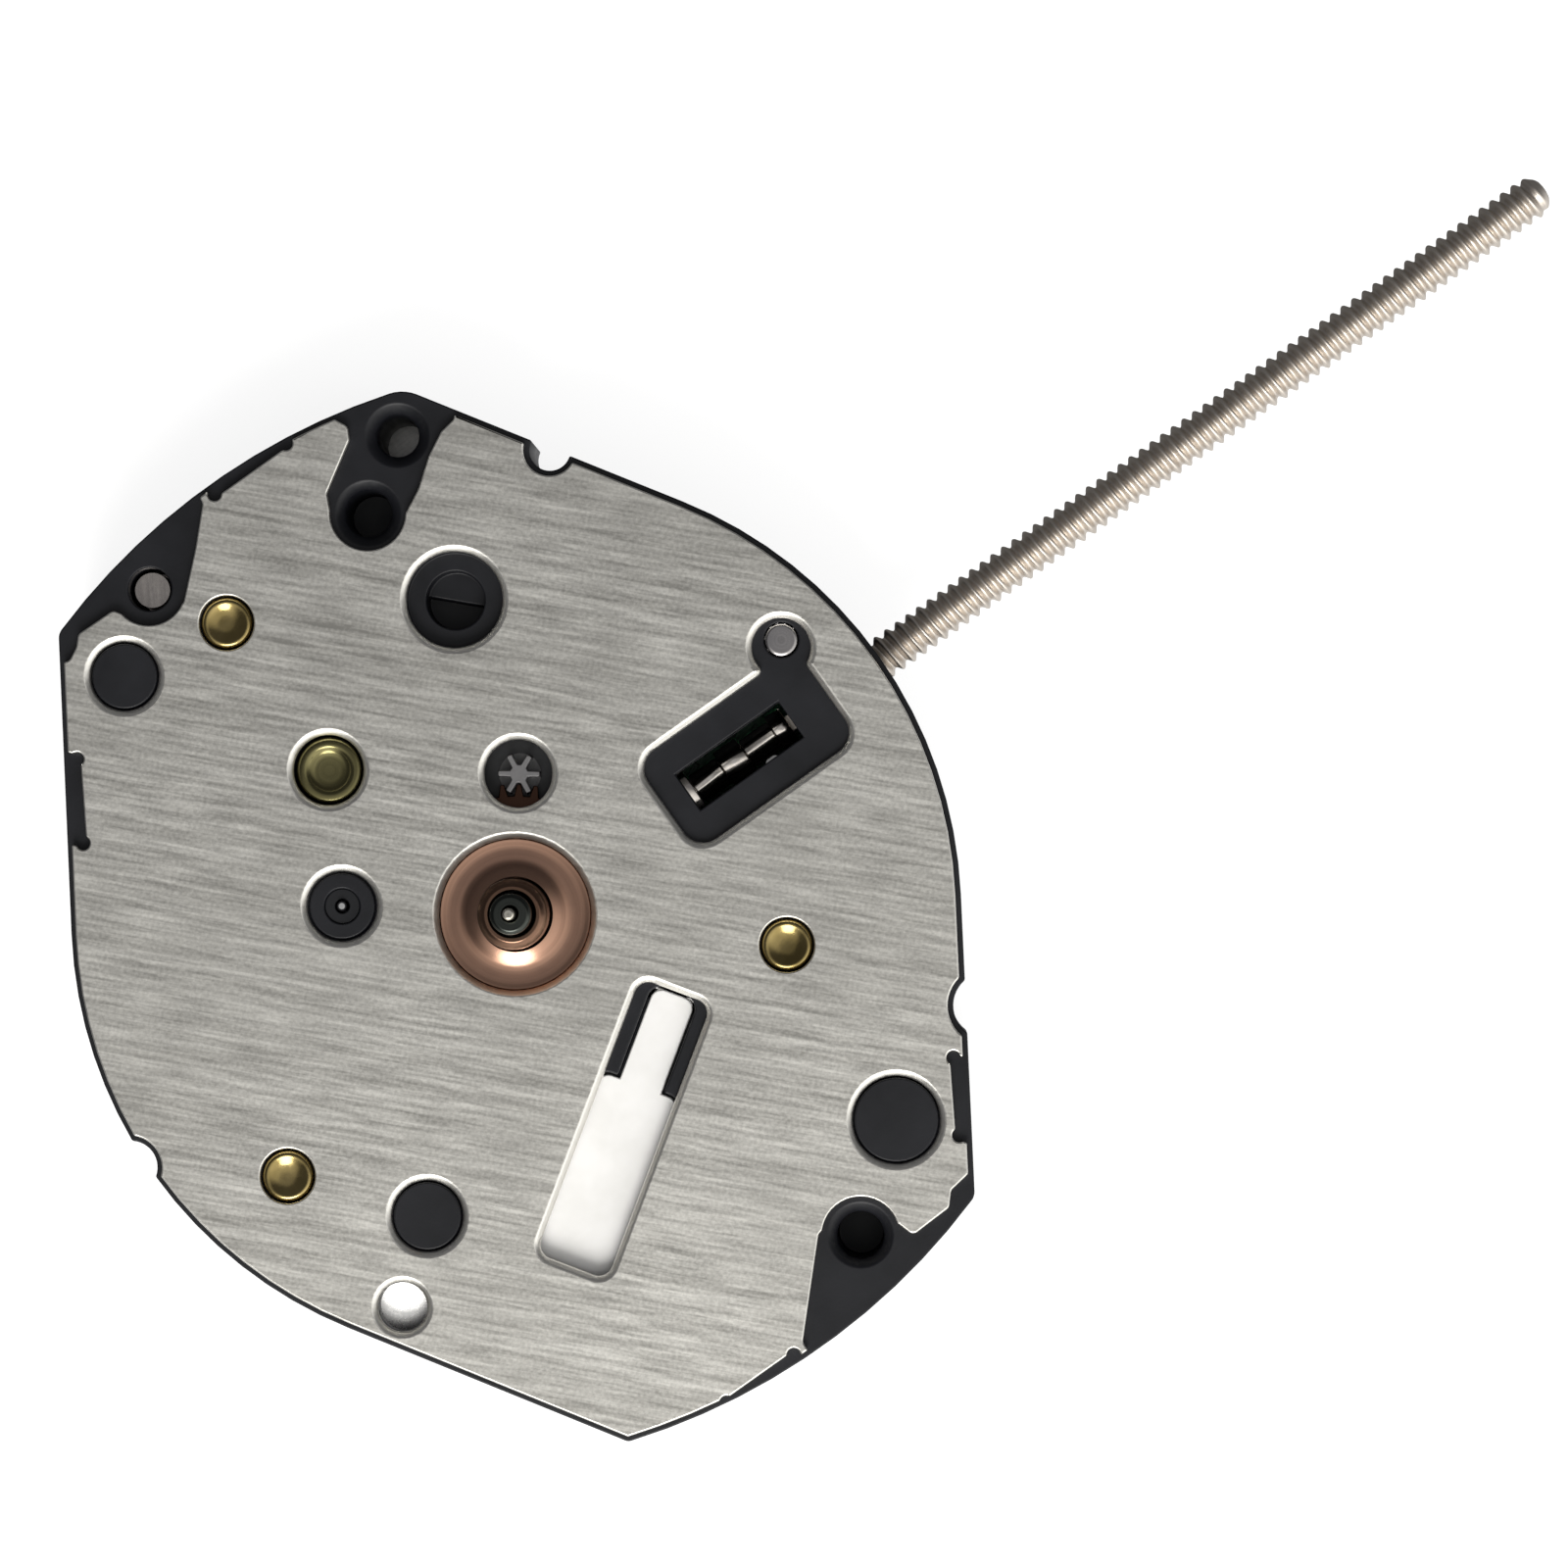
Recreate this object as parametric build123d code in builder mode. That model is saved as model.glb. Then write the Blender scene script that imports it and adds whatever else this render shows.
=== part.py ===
from build123d import *
from math import acos, asin, cos, degrees, radians, sin, sqrt
import os

# A three hand quartz watch movement, dial side up, with its setting stem along +X at 3 o'clock.
# The origin is on the hand axis, in the face that the dial lies on. Twelve o'clock is +Y.
# All lengths are in millimetres, and all angles are in degrees.

# Driving sizes of the whole movement
side_radius = 7.6
movement_height = 3.15
stem_reach = 14.05

# The lengths below are those of the usual calibre, whose side radius is 7.6 and height 3.15,
# so these two scales carry a change of either size to all of them
plan = side_radius / 7.6
rise = movement_height / 3.15
half_length = 9.02 * plan
end_radius = 11.5 * plan
tangent_angle = 32.7

# Clearances
overrun = 0.5
running_gap = 0.04
pocket_gap = 0.05
wheel_gap = 0.08
arm_gap = 0.10

# Levels from the dial face down to the back
dial_plate_thickness = 0.20 * rise
hour_disc_top = -0.34 * rise
hour_disc_thickness = 0.16 * rise
minute_disc_top = -0.62 * rise
minute_disc_thickness = 0.18 * rise
motion_floor = -0.86 * rise
web_bottom = -1.10 * rise
centre_disc_top = -1.18 * rise
fifth_disc_top = -1.43 * rise
third_disc_top = -1.68 * rise
fourth_disc_top = -1.93 * rise
train_disc_thickness = 0.12 * rise
core_top = -1.90 * rise
core_thickness = 0.22 * rise
stator_thickness = 0.23 * rise
bridge_thickness = 0.20 * rise
back_face = -2.70 * rise
board_thickness = 0.14 * rise
insulator_thickness = 0.06 * rise
cover_thickness = 0.12 * rise
plate_top = -dial_plate_thickness
stator_top = core_top - core_thickness
stator_bottom = stator_top - stator_thickness
bridge_top = back_face + bridge_thickness
insulator_top = back_face - board_thickness
cover_top = insulator_top - insulator_thickness
cover_bottom = cover_top - cover_thickness
back_level = -movement_height

# Gears of the motion work: teeth, modules and places
tooth_root_share = 0.30
tooth_tip_share = 0.12
addendum_share = 1.0
dedendum_share = 1.25
minute_wheel_distance = 2.40 * plan
minute_wheel_angle = 53.5
minute_pinion_teeth = 6
hour_wheel_teeth = 48
cannon_teeth = 16
minute_wheel_teeth = 24
setting_wheel_teeth = 11
hour_module = 2 * minute_wheel_distance / (minute_pinion_teeth + hour_wheel_teeth)
minute_module = 2 * minute_wheel_distance / (cannon_teeth + minute_wheel_teeth)

# Gears of the time train
rotor_pinion_teeth = 6
fifth_wheel_teeth = 36
fifth_pinion_teeth = 10
fourth_wheel_teeth = 50
fourth_pinion_teeth = 8
third_wheel_teeth = 60
third_pinion_teeth = 8
centre_wheel_teeth = 64
rotor_mesh_distance = 1.40 * plan
fifth_distance = 1.92 * plan
fifth_angle = 164.8
third_distance = 1.85 * plan
third_angle = 90.0
rotor_mesh_angle = 109.9
rotor_module = 2 * rotor_mesh_distance / (rotor_pinion_teeth + fifth_wheel_teeth)
fifth_module = 2 * fifth_distance / (fifth_pinion_teeth + fourth_wheel_teeth)
third_module = 2 * third_distance / (fourth_pinion_teeth + third_wheel_teeth)
centre_module = 2 * third_distance / (third_pinion_teeth + centre_wheel_teeth)

# Hand axis
hour_pipe_radius = 0.60 * plan
hour_pipe_bore = 0.40 * plan
hour_pipe_height = 0.80 * rise
hour_pipe_chamfer = 0.12 * plan
hour_pipe_foot_radius = 0.62 * plan
minute_post_radius = 0.35 * plan
minute_tube_radius = 0.37 * plan
minute_seat_level = 0.82 * rise
minute_post_height = 1.32 * rise
seconds_post_radius = 0.10 * plan
seconds_arbor_radius = 0.115 * plan
seconds_hub_radius = 0.27 * plan
seconds_seat_level = 1.36 * rise
seconds_post_height = 1.80 * rise
centre_pipe_radius = 0.24 * plan
washer_radius = 1.24 * plan
washer_cone_radius = 0.92 * plan
washer_thickness = 0.06 * rise
centre_hole_radius = 1.30 * plan

# Arbors of the train
arbor_radius = 0.12 * plan
pivot_radius = 0.08 * plan
upper_pivot_length = 0.08 * rise
third_arbor_radius = 0.12 * plan
rotor_arbor_radius = 0.20 * plan
magnet_radius = 0.55 * plan
magnet_height = 0.43 * rise
magnet_bore = 0.20 * plan
stator_hole_radius = 0.72 * plan
rotor_boss_radius = 0.56 * plan
rotor_bearing_radius = 0.30 * plan

# Battery
battery_radius = 3.40 * plan
battery_height = 2.10 * rise
battery_cap_radius = 2.95 * plan
battery_cap_depth = 0.28 * rise
battery_seal_width = 0.14 * plan
battery_wall = 0.155 * plan
battery_angle = 254.9
battery_rim_wall = 0.25 * plan

# Posts, studs and screws
post_radius = 0.44 * plan
post_bore_radius = 0.24 * plan
post_dome = 0.10
post_top = -0.02 * rise
stud_top = -0.06 * rise
cover_screw_head_radius = 0.62 * plan
bridge_screw_head_radius = 0.40 * plan
bridge_screw_head_height = 0.12 * rise
bridge_screw_radius = 0.20 * plan
bridge_screw_depth = 0.90 * rise
insert_radius = 0.42 * plan
insert_flange_radius = 0.57 * plan
insert_flange_thickness = 0.25 * rise
insert_top = -0.22 * rise
screw_slot_width = 0.12 * plan
screw_slot_depth = 0.06 * rise

# Coil
coil_radius = 0.68 * rise
coil_length = 5.6 * plan
coil_flange_thickness = 0.20 * plan
coil_wire_depth = 0.05 * rise
coil_offset = 1.347 * plan
core_half_width = 0.40 * plan
sleeve_wall = 0.06 * rise
core_pad_radius = 0.72 * plan
core_lug_radius = 0.34 * plan
core_pin_radius = 0.30 * plan
core_pin_top = -0.60 * rise
stator_body_radius = 1.00 * plan
stator_neck_radius = 0.50 * plan
stator_bend = 1.90 * plan
stator_notch = 0.10 * plan

# Stem, clutch and setting levers
stem_level = -1.60 * rise
stem_radius = 0.40 * rise
stem_thread_radius = 0.375 * rise
stem_pilot_radius = 0.14 * rise
stem_square = 0.30 * rise
stem_inner_end = 2.45 * plan
stem_pilot_end = 3.20 * plan
stem_square_end = 5.80 * plan
stem_groove_start = 5.98 * plan
stem_groove_end = 6.52 * plan
stem_groove_radius = 0.22 * rise
stem_journal_end = 7.15 * plan
stem_thread_start = 7.75 * plan
stem_outer_end = side_radius + stem_reach
stem_tip_dome = 0.15 * rise
stem_travel = 0.50 * plan
clutch_inner_end = 3.20 * plan
clutch_crown_depth = 0.18 * plan
clutch_crown_teeth = 12
clutch_crown_radius = 0.85 * rise
clutch_crown_bore = 0.58 * rise
clutch_flange_end = 3.72 * plan
clutch_neck_radius = 0.28 * rise
clutch_collar_radius = 0.36 * rise
clutch_first_collar_start = 4.30 * plan
clutch_groove_start = 4.78 * plan
clutch_groove_end = 5.38 * plan
clutch_outer_end = 5.68 * plan
clutch_bore_gap = 0.02
clutch_box_half_width = 0.95 * rise
clutch_box_top = -0.72 * rise
stem_box_end = 6.98 * plan
lever_hub_radius = 0.45 * plan
lever_tip_radius = 0.36 * plan
lever_tail_radius = 0.26 * plan
lever_tail_length = 0.90 * plan
lever_tail_angle = 150.0
lever_swing = 24.0
lever_slot_play = 0.16 * plan
lever_thickness = 0.18 * rise
lever_top = -2.28 * rise
shoe_length = 0.42 * plan
shoe_half_width = 0.38 * rise
shoe_top = -1.45 * rise
shoe_pin_radius = 0.15 * plan
yoke_hub_radius = 0.45 * plan
yoke_tip_radius = 0.17 * plan
yoke_pin_radius = 0.22 * plan
yoke_top = -1.72 * rise
yoke_thickness = 0.20 * rise
reset_hub_radius = 0.35 * plan
reset_pin_radius = 0.18 * plan
reset_top = -1.92 * rise
reset_thickness = 0.14 * rise
reset_arm_length = 2.60 * plan
reset_pad_angle = 285.0
reset_pad_gap = 0.15 * plan
reset_pad_radius = 0.15 * plan

# Places on the plate, as shares of the side radius
dial_bore_shares = ((0.2500, 0.9276), (0.2171, -1.0329))
post_shares = ((-0.7539, -0.1842), (-0.1513, 0.9079), (0.4579, -0.4079))
stud_shares = ((-0.4079, 0.9434), (-0.5500, -0.4382), (0.4316, -0.8684))
insert_share = (-0.1553, 0.5066)
dowel_recess_share = (0.2961, 0.6553)
lever_axle_share = (0.8421, 0.1579)
yoke_pin_share = (0.6487, -0.3026)
yoke_tip_share = (0.6684, -0.0579)
left_hole_share = (-0.7132, -0.5724)
ear_hole_share = (0.4039, 1.0329)
coil_hole_share = (-0.2500, 1.0724)
bridge_screw_shares = ((0.3026, 0.2105), (-0.3224, -0.1776))
crystal_share = (0.5855, 0.5592)
chip_share = (0.5263, -0.6579)
slot_share = (-0.0789, -0.5329)

# Holes and recesses on the dial side
dial_bore_radius = 0.40 * plan
dial_bore_depth = 1.60 * rise
dial_bore_sink = 0.15 * plan
stud_radii = (0.555 * plan, 0.575 * plan, 0.715 * plan)
stud_gap = 0.03
boss_gap = 0.04
insert_hole_radius = 0.60 * plan
recess_radius = 0.82 * plan
recess_depth = 0.16 * rise
recess_inner_radius = 0.50 * plan
recess_inner_depth = 0.55 * rise
recess_step_depth = 1.00 * rise
recess_step_angle = -45.0
minute_hole_radius = 0.58 * plan
left_hole_radius = 0.42 * plan
ear_hole_radius = 0.36 * plan
ear_hole_sink = 0.18 * plan
coil_hole_radius = 0.37 * plan
lever_axle_radius = 0.30 * plan
rim_chamfer = 0.06
plate_chamfer = 0.09

# Slot over the battery contact
slot_length = 5.0 * plan
slot_width = 1.29 * plan
slot_corner = 0.25 * plan
slot_angle = 34.0
strip_width = 0.85 * plan
strip_thickness = 0.10 * rise
strip_top = -0.42 * rise
strip_wide_length = 3.2 * plan
strip_overlap = 0.24 * plan

# Window over the clutch wheel
window_start = 3.15 * plan
window_end = 6.50 * plan
window_half_width = 0.92 * plan
window_corner = 0.40 * plan
window_lobe_radius = 0.50 * plan
window_lobe_share = (0.8322, 0.1440)
window_neck_corner = 0.10 * plan
sight_start = 3.60 * plan
sight_end = 5.75 * plan
sight_half_width = 0.37 * plan

# Edge of the main plate and of the steel plate
steel_inset = 0.10
ear_radii = (0.70 * plan, 0.25 * plan, 0.15 * plan, 0.25 * plan)
upper_notch_share = (0.6645, 0.8066)
upper_notch_radius = 0.35 * plan
lower_notch_share = (0.7434, -0.7763)
lower_notch_radius = 0.56 * plan
left_notch_share = (-1.0329, 0.0355)
left_notch_radius = 0.45 * plan
rim_width = 0.60 * plan
board_inset = 1.10 * plan
cover_inset = 0.30 * plan

# Parts on the circuit
chip_size = 1.5 * plan
chip_height = 0.40 * rise
crystal_radius = 0.75 * plan
crystal_length = 5.0 * plan
crystal_angle = 122.7
lead_radius = 0.10 * plan
lead_length = 0.45 * plan
positive_tab_width = 1.2 * plan
positive_tab_thickness = 0.10 * rise
positive_tab_top = -0.72 * rise
positive_tab_length = 1.15 * plan

# Steel plate cut-outs at three ears, as shares of the side radius
upper_right_ear_shares = (
    (0.2895, 1.2500), (0.3053, 1.1513), (0.3250, 1.1118), (0.3105, 1.0842), (0.2000, 1.0158),
    (0.1737, 0.9605), (0.3026, 0.8684), (0.3737, 0.9046), (0.4355, 0.9518), (0.4895, 0.9803),
    (0.5329, 0.9868), (0.6053, 1.2500),
)
upper_left_ear_shares = (
    (-0.6053, 1.1053), (-0.4895, 1.0421), (-0.4579, 1.0592), (-0.4382, 1.0803), (-0.3434, 1.0789),
    (-0.3263, 1.0526), (-0.2763, 1.0066), (-0.2053, 1.0000), (-0.1118, 1.0855), (-0.0408, 1.1579),
    (-0.0197, 1.2632), (-0.6053, 1.2632),
)
lower_right_ear_shares = (
    (-0.0329, -1.2500), (-0.0263, -1.1526), (0.1421, -0.9763), (0.2171, -0.9605), (0.2763, -0.9803),
    (0.3132, -1.1000), (0.4145, -1.0961), (0.4408, -1.0671), (0.4868, -1.0605), (0.5658, -1.0395),
    (0.5658, -1.2500),
)
ear_cut_corner = 0.12 * plan
ear_cut_radii = (0.65 * plan, 0.63 * plan, 0.66 * plan)

# Shallow steps in the steel plate's edge, each with a nib at both ends
edge_step_shares = (
    ((-0.0066, 1.1605), (0.1895, 1.1605)), ((-0.0592, -1.1645), (-0.2434, -1.1645)),
    ((0.6158, -0.8289), (0.5263, -0.9776)), ((-0.6018, 0.8526), (-0.6992, 0.6908)),
)
edge_step_reach = 1.06
edge_step_radius = 0.06
edge_nib_radius = 0.12

# Windows in the cover, the insulator and the board on the back
coil_window_length = 4.0 * plan
coil_window_width = 1.0 * plan
crystal_window_length = 3.2 * plan
crystal_window_width = 0.9 * plan
back_window_corner = 0.30 * plan
train_window_radius = 0.55 * plan
release_hole_radius = 0.35 * plan


# Place of a table entry on the plate
def place(shares):
    return (shares[0] * side_radius, shares[1] * side_radius)


# Point at a distance and an angle from another point
def polar(start, distance, angle):
    return (
        start[0] + distance * cos(radians(angle)),
        start[1] + distance * sin(radians(angle)),
    )


# Angle of the rotation that brings a second gear into mesh with a first one
def meshed_phase(phase, teeth, other_teeth, line_angle):
    turned = (phase - line_angle) * teeth / other_teeth
    return line_angle + 180 - turned + 180 / other_teeth


# Flat outline of a gear with straight sided teeth
def gear_face(teeth, module, phase):
    pitch = 360 / teeth
    root = module * (teeth / 2 - dedendum_share)
    tip = module * (teeth / 2 + addendum_share)
    corners = []
    for tooth in range(teeth):
        middle = phase + tooth * pitch
        corners.append(polar((0, 0), root, middle - tooth_root_share * pitch))
        corners.append(polar((0, 0), tip, middle - tooth_tip_share * pitch))
        corners.append(polar((0, 0), tip, middle + tooth_tip_share * pitch))
        corners.append(polar((0, 0), root, middle + tooth_root_share * pitch))
    with BuildSketch() as face:
        Polygon(*corners, align=None)
    return face.sketch


# Outline of the movement: round at 3 and 9 o'clock, with four ears on two flatter ends
def movement_outline(inset=0):
    slope = (cos(radians(tangent_angle)), sin(radians(tangent_angle)))
    touch = (side_radius * slope[0], side_radius * slope[1])
    end_centre = half_length - end_radius
    lead = (touch[1] - end_centre) * slope[0] - touch[0] * slope[1]
    rest = touch[0] ** 2 + (touch[1] - end_centre) ** 2 - end_radius ** 2
    run = sqrt(lead ** 2 - rest) - lead
    ear = (touch[0] - run * slope[1], touch[1] + run * slope[0])
    with BuildSketch() as face:
        with BuildLine():
            ThreePointArc((touch[0], -touch[1]), (side_radius, 0), touch)
            Line(touch, ear)
            ThreePointArc(ear, (0, half_length), (-ear[0], ear[1]))
            Line((-ear[0], ear[1]), (-touch[0], touch[1]))
            ThreePointArc((-touch[0], touch[1]), (-side_radius, 0), (-touch[0], -touch[1]))
            Line((-touch[0], -touch[1]), (-ear[0], -ear[1]))
            ThreePointArc((-ear[0], -ear[1]), (0, -half_length), (ear[0], -ear[1]))
            Line((ear[0], -ear[1]), (touch[0], -touch[1]))
        make_face()
        ears = face.vertices().sort_by(lambda v: -abs(v.Y))[:4]
        upper = ears.sort_by(Axis.Y)[-2:].sort_by(Axis.X)
        lower = ears.sort_by(Axis.Y)[:2].sort_by(Axis.X)
        corners = (upper[1], upper[0], lower[0], lower[1])
        for corner, radius in zip(corners, ear_radii):
            near = face.vertices().sort_by_distance(corner)[0]
            fillet(near, radius=radius)
        if inset:
            offset(amount=-inset)
    return face.sketch


# Outline with its three edge notches, grown by a gap where a cover stands back
def notched_outline(inset=0):
    with BuildSketch() as face:
        add(movement_outline(inset))
        with Locations(place(upper_notch_share)):
            Circle(upper_notch_radius + inset, mode=Mode.SUBTRACT)
        with Locations(place(lower_notch_share)):
            Circle(lower_notch_radius + inset, mode=Mode.SUBTRACT)
        with Locations(place(left_notch_share)):
            Circle(left_notch_radius + inset, mode=Mode.SUBTRACT)
    return face.sketch


# Outline that wraps round circles given as centre and radius
def wrapped_face(*circles):
    with BuildSketch() as face:
        for centre, radius in circles:
            with Locations(centre):
                Circle(radius)
        make_hull()
    return face.sketch


# Arm along a line of circles, each pair wrapped on its own
def arm_face(*circles):
    with BuildSketch() as face:
        for first, second in zip(circles, circles[1:]):
            add(wrapped_face(first, second))
    return face.sketch


# Places worked out from the gears, the battery and the coil
minute_axis = polar((0, 0), minute_wheel_distance, minute_wheel_angle)
setting_distance = minute_module * (minute_wheel_teeth + setting_wheel_teeth) / 2
setting_axis = (minute_axis[0] + sqrt(setting_distance ** 2 - minute_axis[1] ** 2), 0)
fifth_axis = polar((0, 0), fifth_distance, fifth_angle)
third_axis = polar((0, 0), third_distance, third_angle)
rotor_axis = polar(fifth_axis, rotor_mesh_distance, rotor_mesh_angle)
centre_tip = centre_module * (centre_wheel_teeth / 2 + addendum_share)
fourth_tip = fifth_module * (fourth_wheel_teeth / 2 + addendum_share)
fifth_tip = rotor_module * (fifth_wheel_teeth / 2 + addendum_share)
hour_tip = hour_module * (hour_wheel_teeth / 2 + addendum_share)
minute_tip = minute_module * (minute_wheel_teeth / 2 + addendum_share)
cannon_tip = minute_module * (cannon_teeth / 2 + addendum_share)
setting_tip = minute_module * (setting_wheel_teeth / 2 + addendum_share)
train_pocket_radius = centre_tip + wheel_gap
battery_pocket_radius = battery_radius + pocket_gap
battery_distance = train_pocket_radius + battery_wall + battery_pocket_radius
battery_axis = polar((0, 0), battery_distance, battery_angle)
battery_top = back_level + battery_height
battery_ceiling = battery_top + strip_thickness / 2
posts = [place(shares) for shares in post_shares]
studs = [place(shares) for shares in stud_shares]
insert_place = place(insert_share)
bridge_screws_at = [place(shares) for shares in bridge_screw_shares] + [insert_place]
post_run = (posts[1][0] - posts[0][0], posts[1][1] - posts[0][1])
post_distance = sqrt(post_run[0] ** 2 + post_run[1] ** 2)
coil_way = (post_run[0] / post_distance, post_run[1] / post_distance)
coil_side = (-coil_way[1], coil_way[0])
coil_angle = degrees(acos(coil_way[0]))


# Point beside the line of the two coil posts
def beside_posts(along, aside):
    middle = ((posts[0][0] + posts[1][0]) / 2, (posts[0][1] + posts[1][1]) / 2)
    return (
        middle[0] + along * coil_way[0] + aside * coil_side[0],
        middle[1] + along * coil_way[1] + aside * coil_side[1],
    )


coil_centre = beside_posts(0, coil_offset)
core_ends = (
    beside_posts(-post_distance / 2, coil_offset),
    beside_posts(post_distance / 2, coil_offset),
)
lever_axle = place(lever_axle_share)
yoke_axis = place(yoke_pin_share)
yoke_tip = place(yoke_tip_share)
groove_middle = ((stem_groove_start + stem_groove_end) / 2, 0)
reset_pad = polar((0, 0), fourth_tip + reset_pad_gap + reset_pad_radius, reset_pad_angle)
reset_axis = polar(reset_pad, reset_arm_length, reset_pad_angle + 90)
lever_tail = polar(lever_axle, lever_tail_length, lever_tail_angle)
lever_tail_pulled = polar(lever_axle, lever_tail_length, lever_tail_angle + lever_swing)

# Phases of the gears, so that every pair stands in mesh
hour_phase = minute_wheel_angle
minute_pinion_phase = meshed_phase(
    hour_phase, hour_wheel_teeth, minute_pinion_teeth, minute_wheel_angle
)
minute_wheel_phase = meshed_phase(0, cannon_teeth, minute_wheel_teeth, minute_wheel_angle)
setting_line = -degrees(asin(minute_axis[1] / setting_distance))
setting_phase = meshed_phase(
    minute_wheel_phase, minute_wheel_teeth, setting_wheel_teeth, setting_line
)
fifth_pinion_phase = meshed_phase(0, fourth_wheel_teeth, fifth_pinion_teeth, fifth_angle)
rotor_phase = meshed_phase(0, fifth_wheel_teeth, rotor_pinion_teeth, rotor_mesh_angle)
third_wheel_phase = meshed_phase(0, fourth_pinion_teeth, third_wheel_teeth, third_angle)
centre_phase = meshed_phase(0, third_pinion_teeth, centre_wheel_teeth, third_angle + 180)


# Hull of the train bridge over its wheels and screws
def bridge_face(growth=0):
    with BuildSketch() as face:
        add(wrapped_face(
            ((0, 0), train_pocket_radius + battery_wall / 2 + growth),
            (third_axis, train_pocket_radius + growth),
            (rotor_axis, rotor_boss_radius + growth),
        ))
        for screw in bridge_screws_at:
            add(wrapped_face((screw, bridge_screw_head_radius + 2 * pocket_gap + growth), (
                (0, 0) if screw[1] < third_axis[1] else third_axis,
                bridge_screw_head_radius + growth,
            )))
    return face.sketch


# Outline of the stator, and of the coil core with its two feet
def stator_face(growth=0):
    return arm_face(
        (posts[0], core_pad_radius + growth),
        (beside_posts(-stator_bend, -stator_neck_radius / 2), stator_neck_radius + growth),
        (rotor_axis, stator_body_radius + growth),
        (beside_posts(stator_bend, -stator_neck_radius / 2), stator_neck_radius + growth),
        (posts[1], core_pad_radius + growth),
    )


def core_face(growth=0):
    return arm_face(
        (posts[0], core_pad_radius + growth),
        (core_ends[0], core_half_width + growth),
        (core_ends[1], core_half_width + growth),
        (posts[1], core_pad_radius + growth),
        (place(coil_hole_share), core_lug_radius + growth),
    )


# Rounded slot over the battery contact, turned to its angle
def slot_face(length, width, corner, shift=0):
    start = polar(place(slot_share), shift, slot_angle)
    with BuildSketch() as face:
        with Locations(Location((start[0], start[1], 0), (0, 0, slot_angle))):
            RectangleRounded(length, width, corner)
    return face.sketch


# Circuit outline: inside the rim and clear of the battery
def circuit_face(inset, battery_clear):
    with BuildSketch() as face:
        add(movement_outline(inset))
        with Locations(battery_axis):
            Circle(battery_clear, mode=Mode.SUBTRACT)
        with Locations(place(ear_hole_share)):
            Circle(ear_hole_radius + ear_hole_sink, mode=Mode.SUBTRACT)
    return face.sketch


# Slanted place on the plate for a box that lies along an angle
def slanted(centre, angle):
    return Location((centre[0], centre[1], 0), (0, 0, angle))


# Windows on the back over the coil, the crystal, the seconds pivot and the lever axle
def back_windows():
    with BuildSketch() as face:
        with Locations(slanted(coil_centre, coil_angle)):
            RectangleRounded(coil_window_length, coil_window_width, back_window_corner)
        with Locations(slanted(crystal_centre, crystal_angle)):
            RectangleRounded(crystal_window_length, crystal_window_width, back_window_corner)
        Circle(train_window_radius)
        with Locations(lever_axle):
            Circle(release_hole_radius)
    return face.sketch


# Sizes shared by the pockets and what they hold
boss_top = plate_top + stud_gap
battery_tower = battery_pocket_radius + battery_rim_wall
pin_foot = web_bottom + wheel_gap
strip_leg_place = polar(place(slot_share), slot_length / 2 - strip_thickness, slot_angle)
tab_way = degrees(acos(
    (place(left_hole_share)[0] - battery_axis[0])
    / sqrt(
        (place(left_hole_share)[0] - battery_axis[0]) ** 2
        + (place(left_hole_share)[1] - battery_axis[1]) ** 2
    )
))
crystal_centre = place(crystal_share)
crystal_level = back_face + crystal_radius
crystal_box = 2 * crystal_radius + 2 * pocket_gap
ear_cuts = (
    (upper_right_ear_shares, dial_bore_shares[0], ear_cut_radii[0]),
    (upper_left_ear_shares, coil_hole_share, ear_cut_radii[1]),
    (lower_right_ear_shares, dial_bore_shares[1], ear_cut_radii[2]),
)
chip_centre = place(chip_share)

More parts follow.
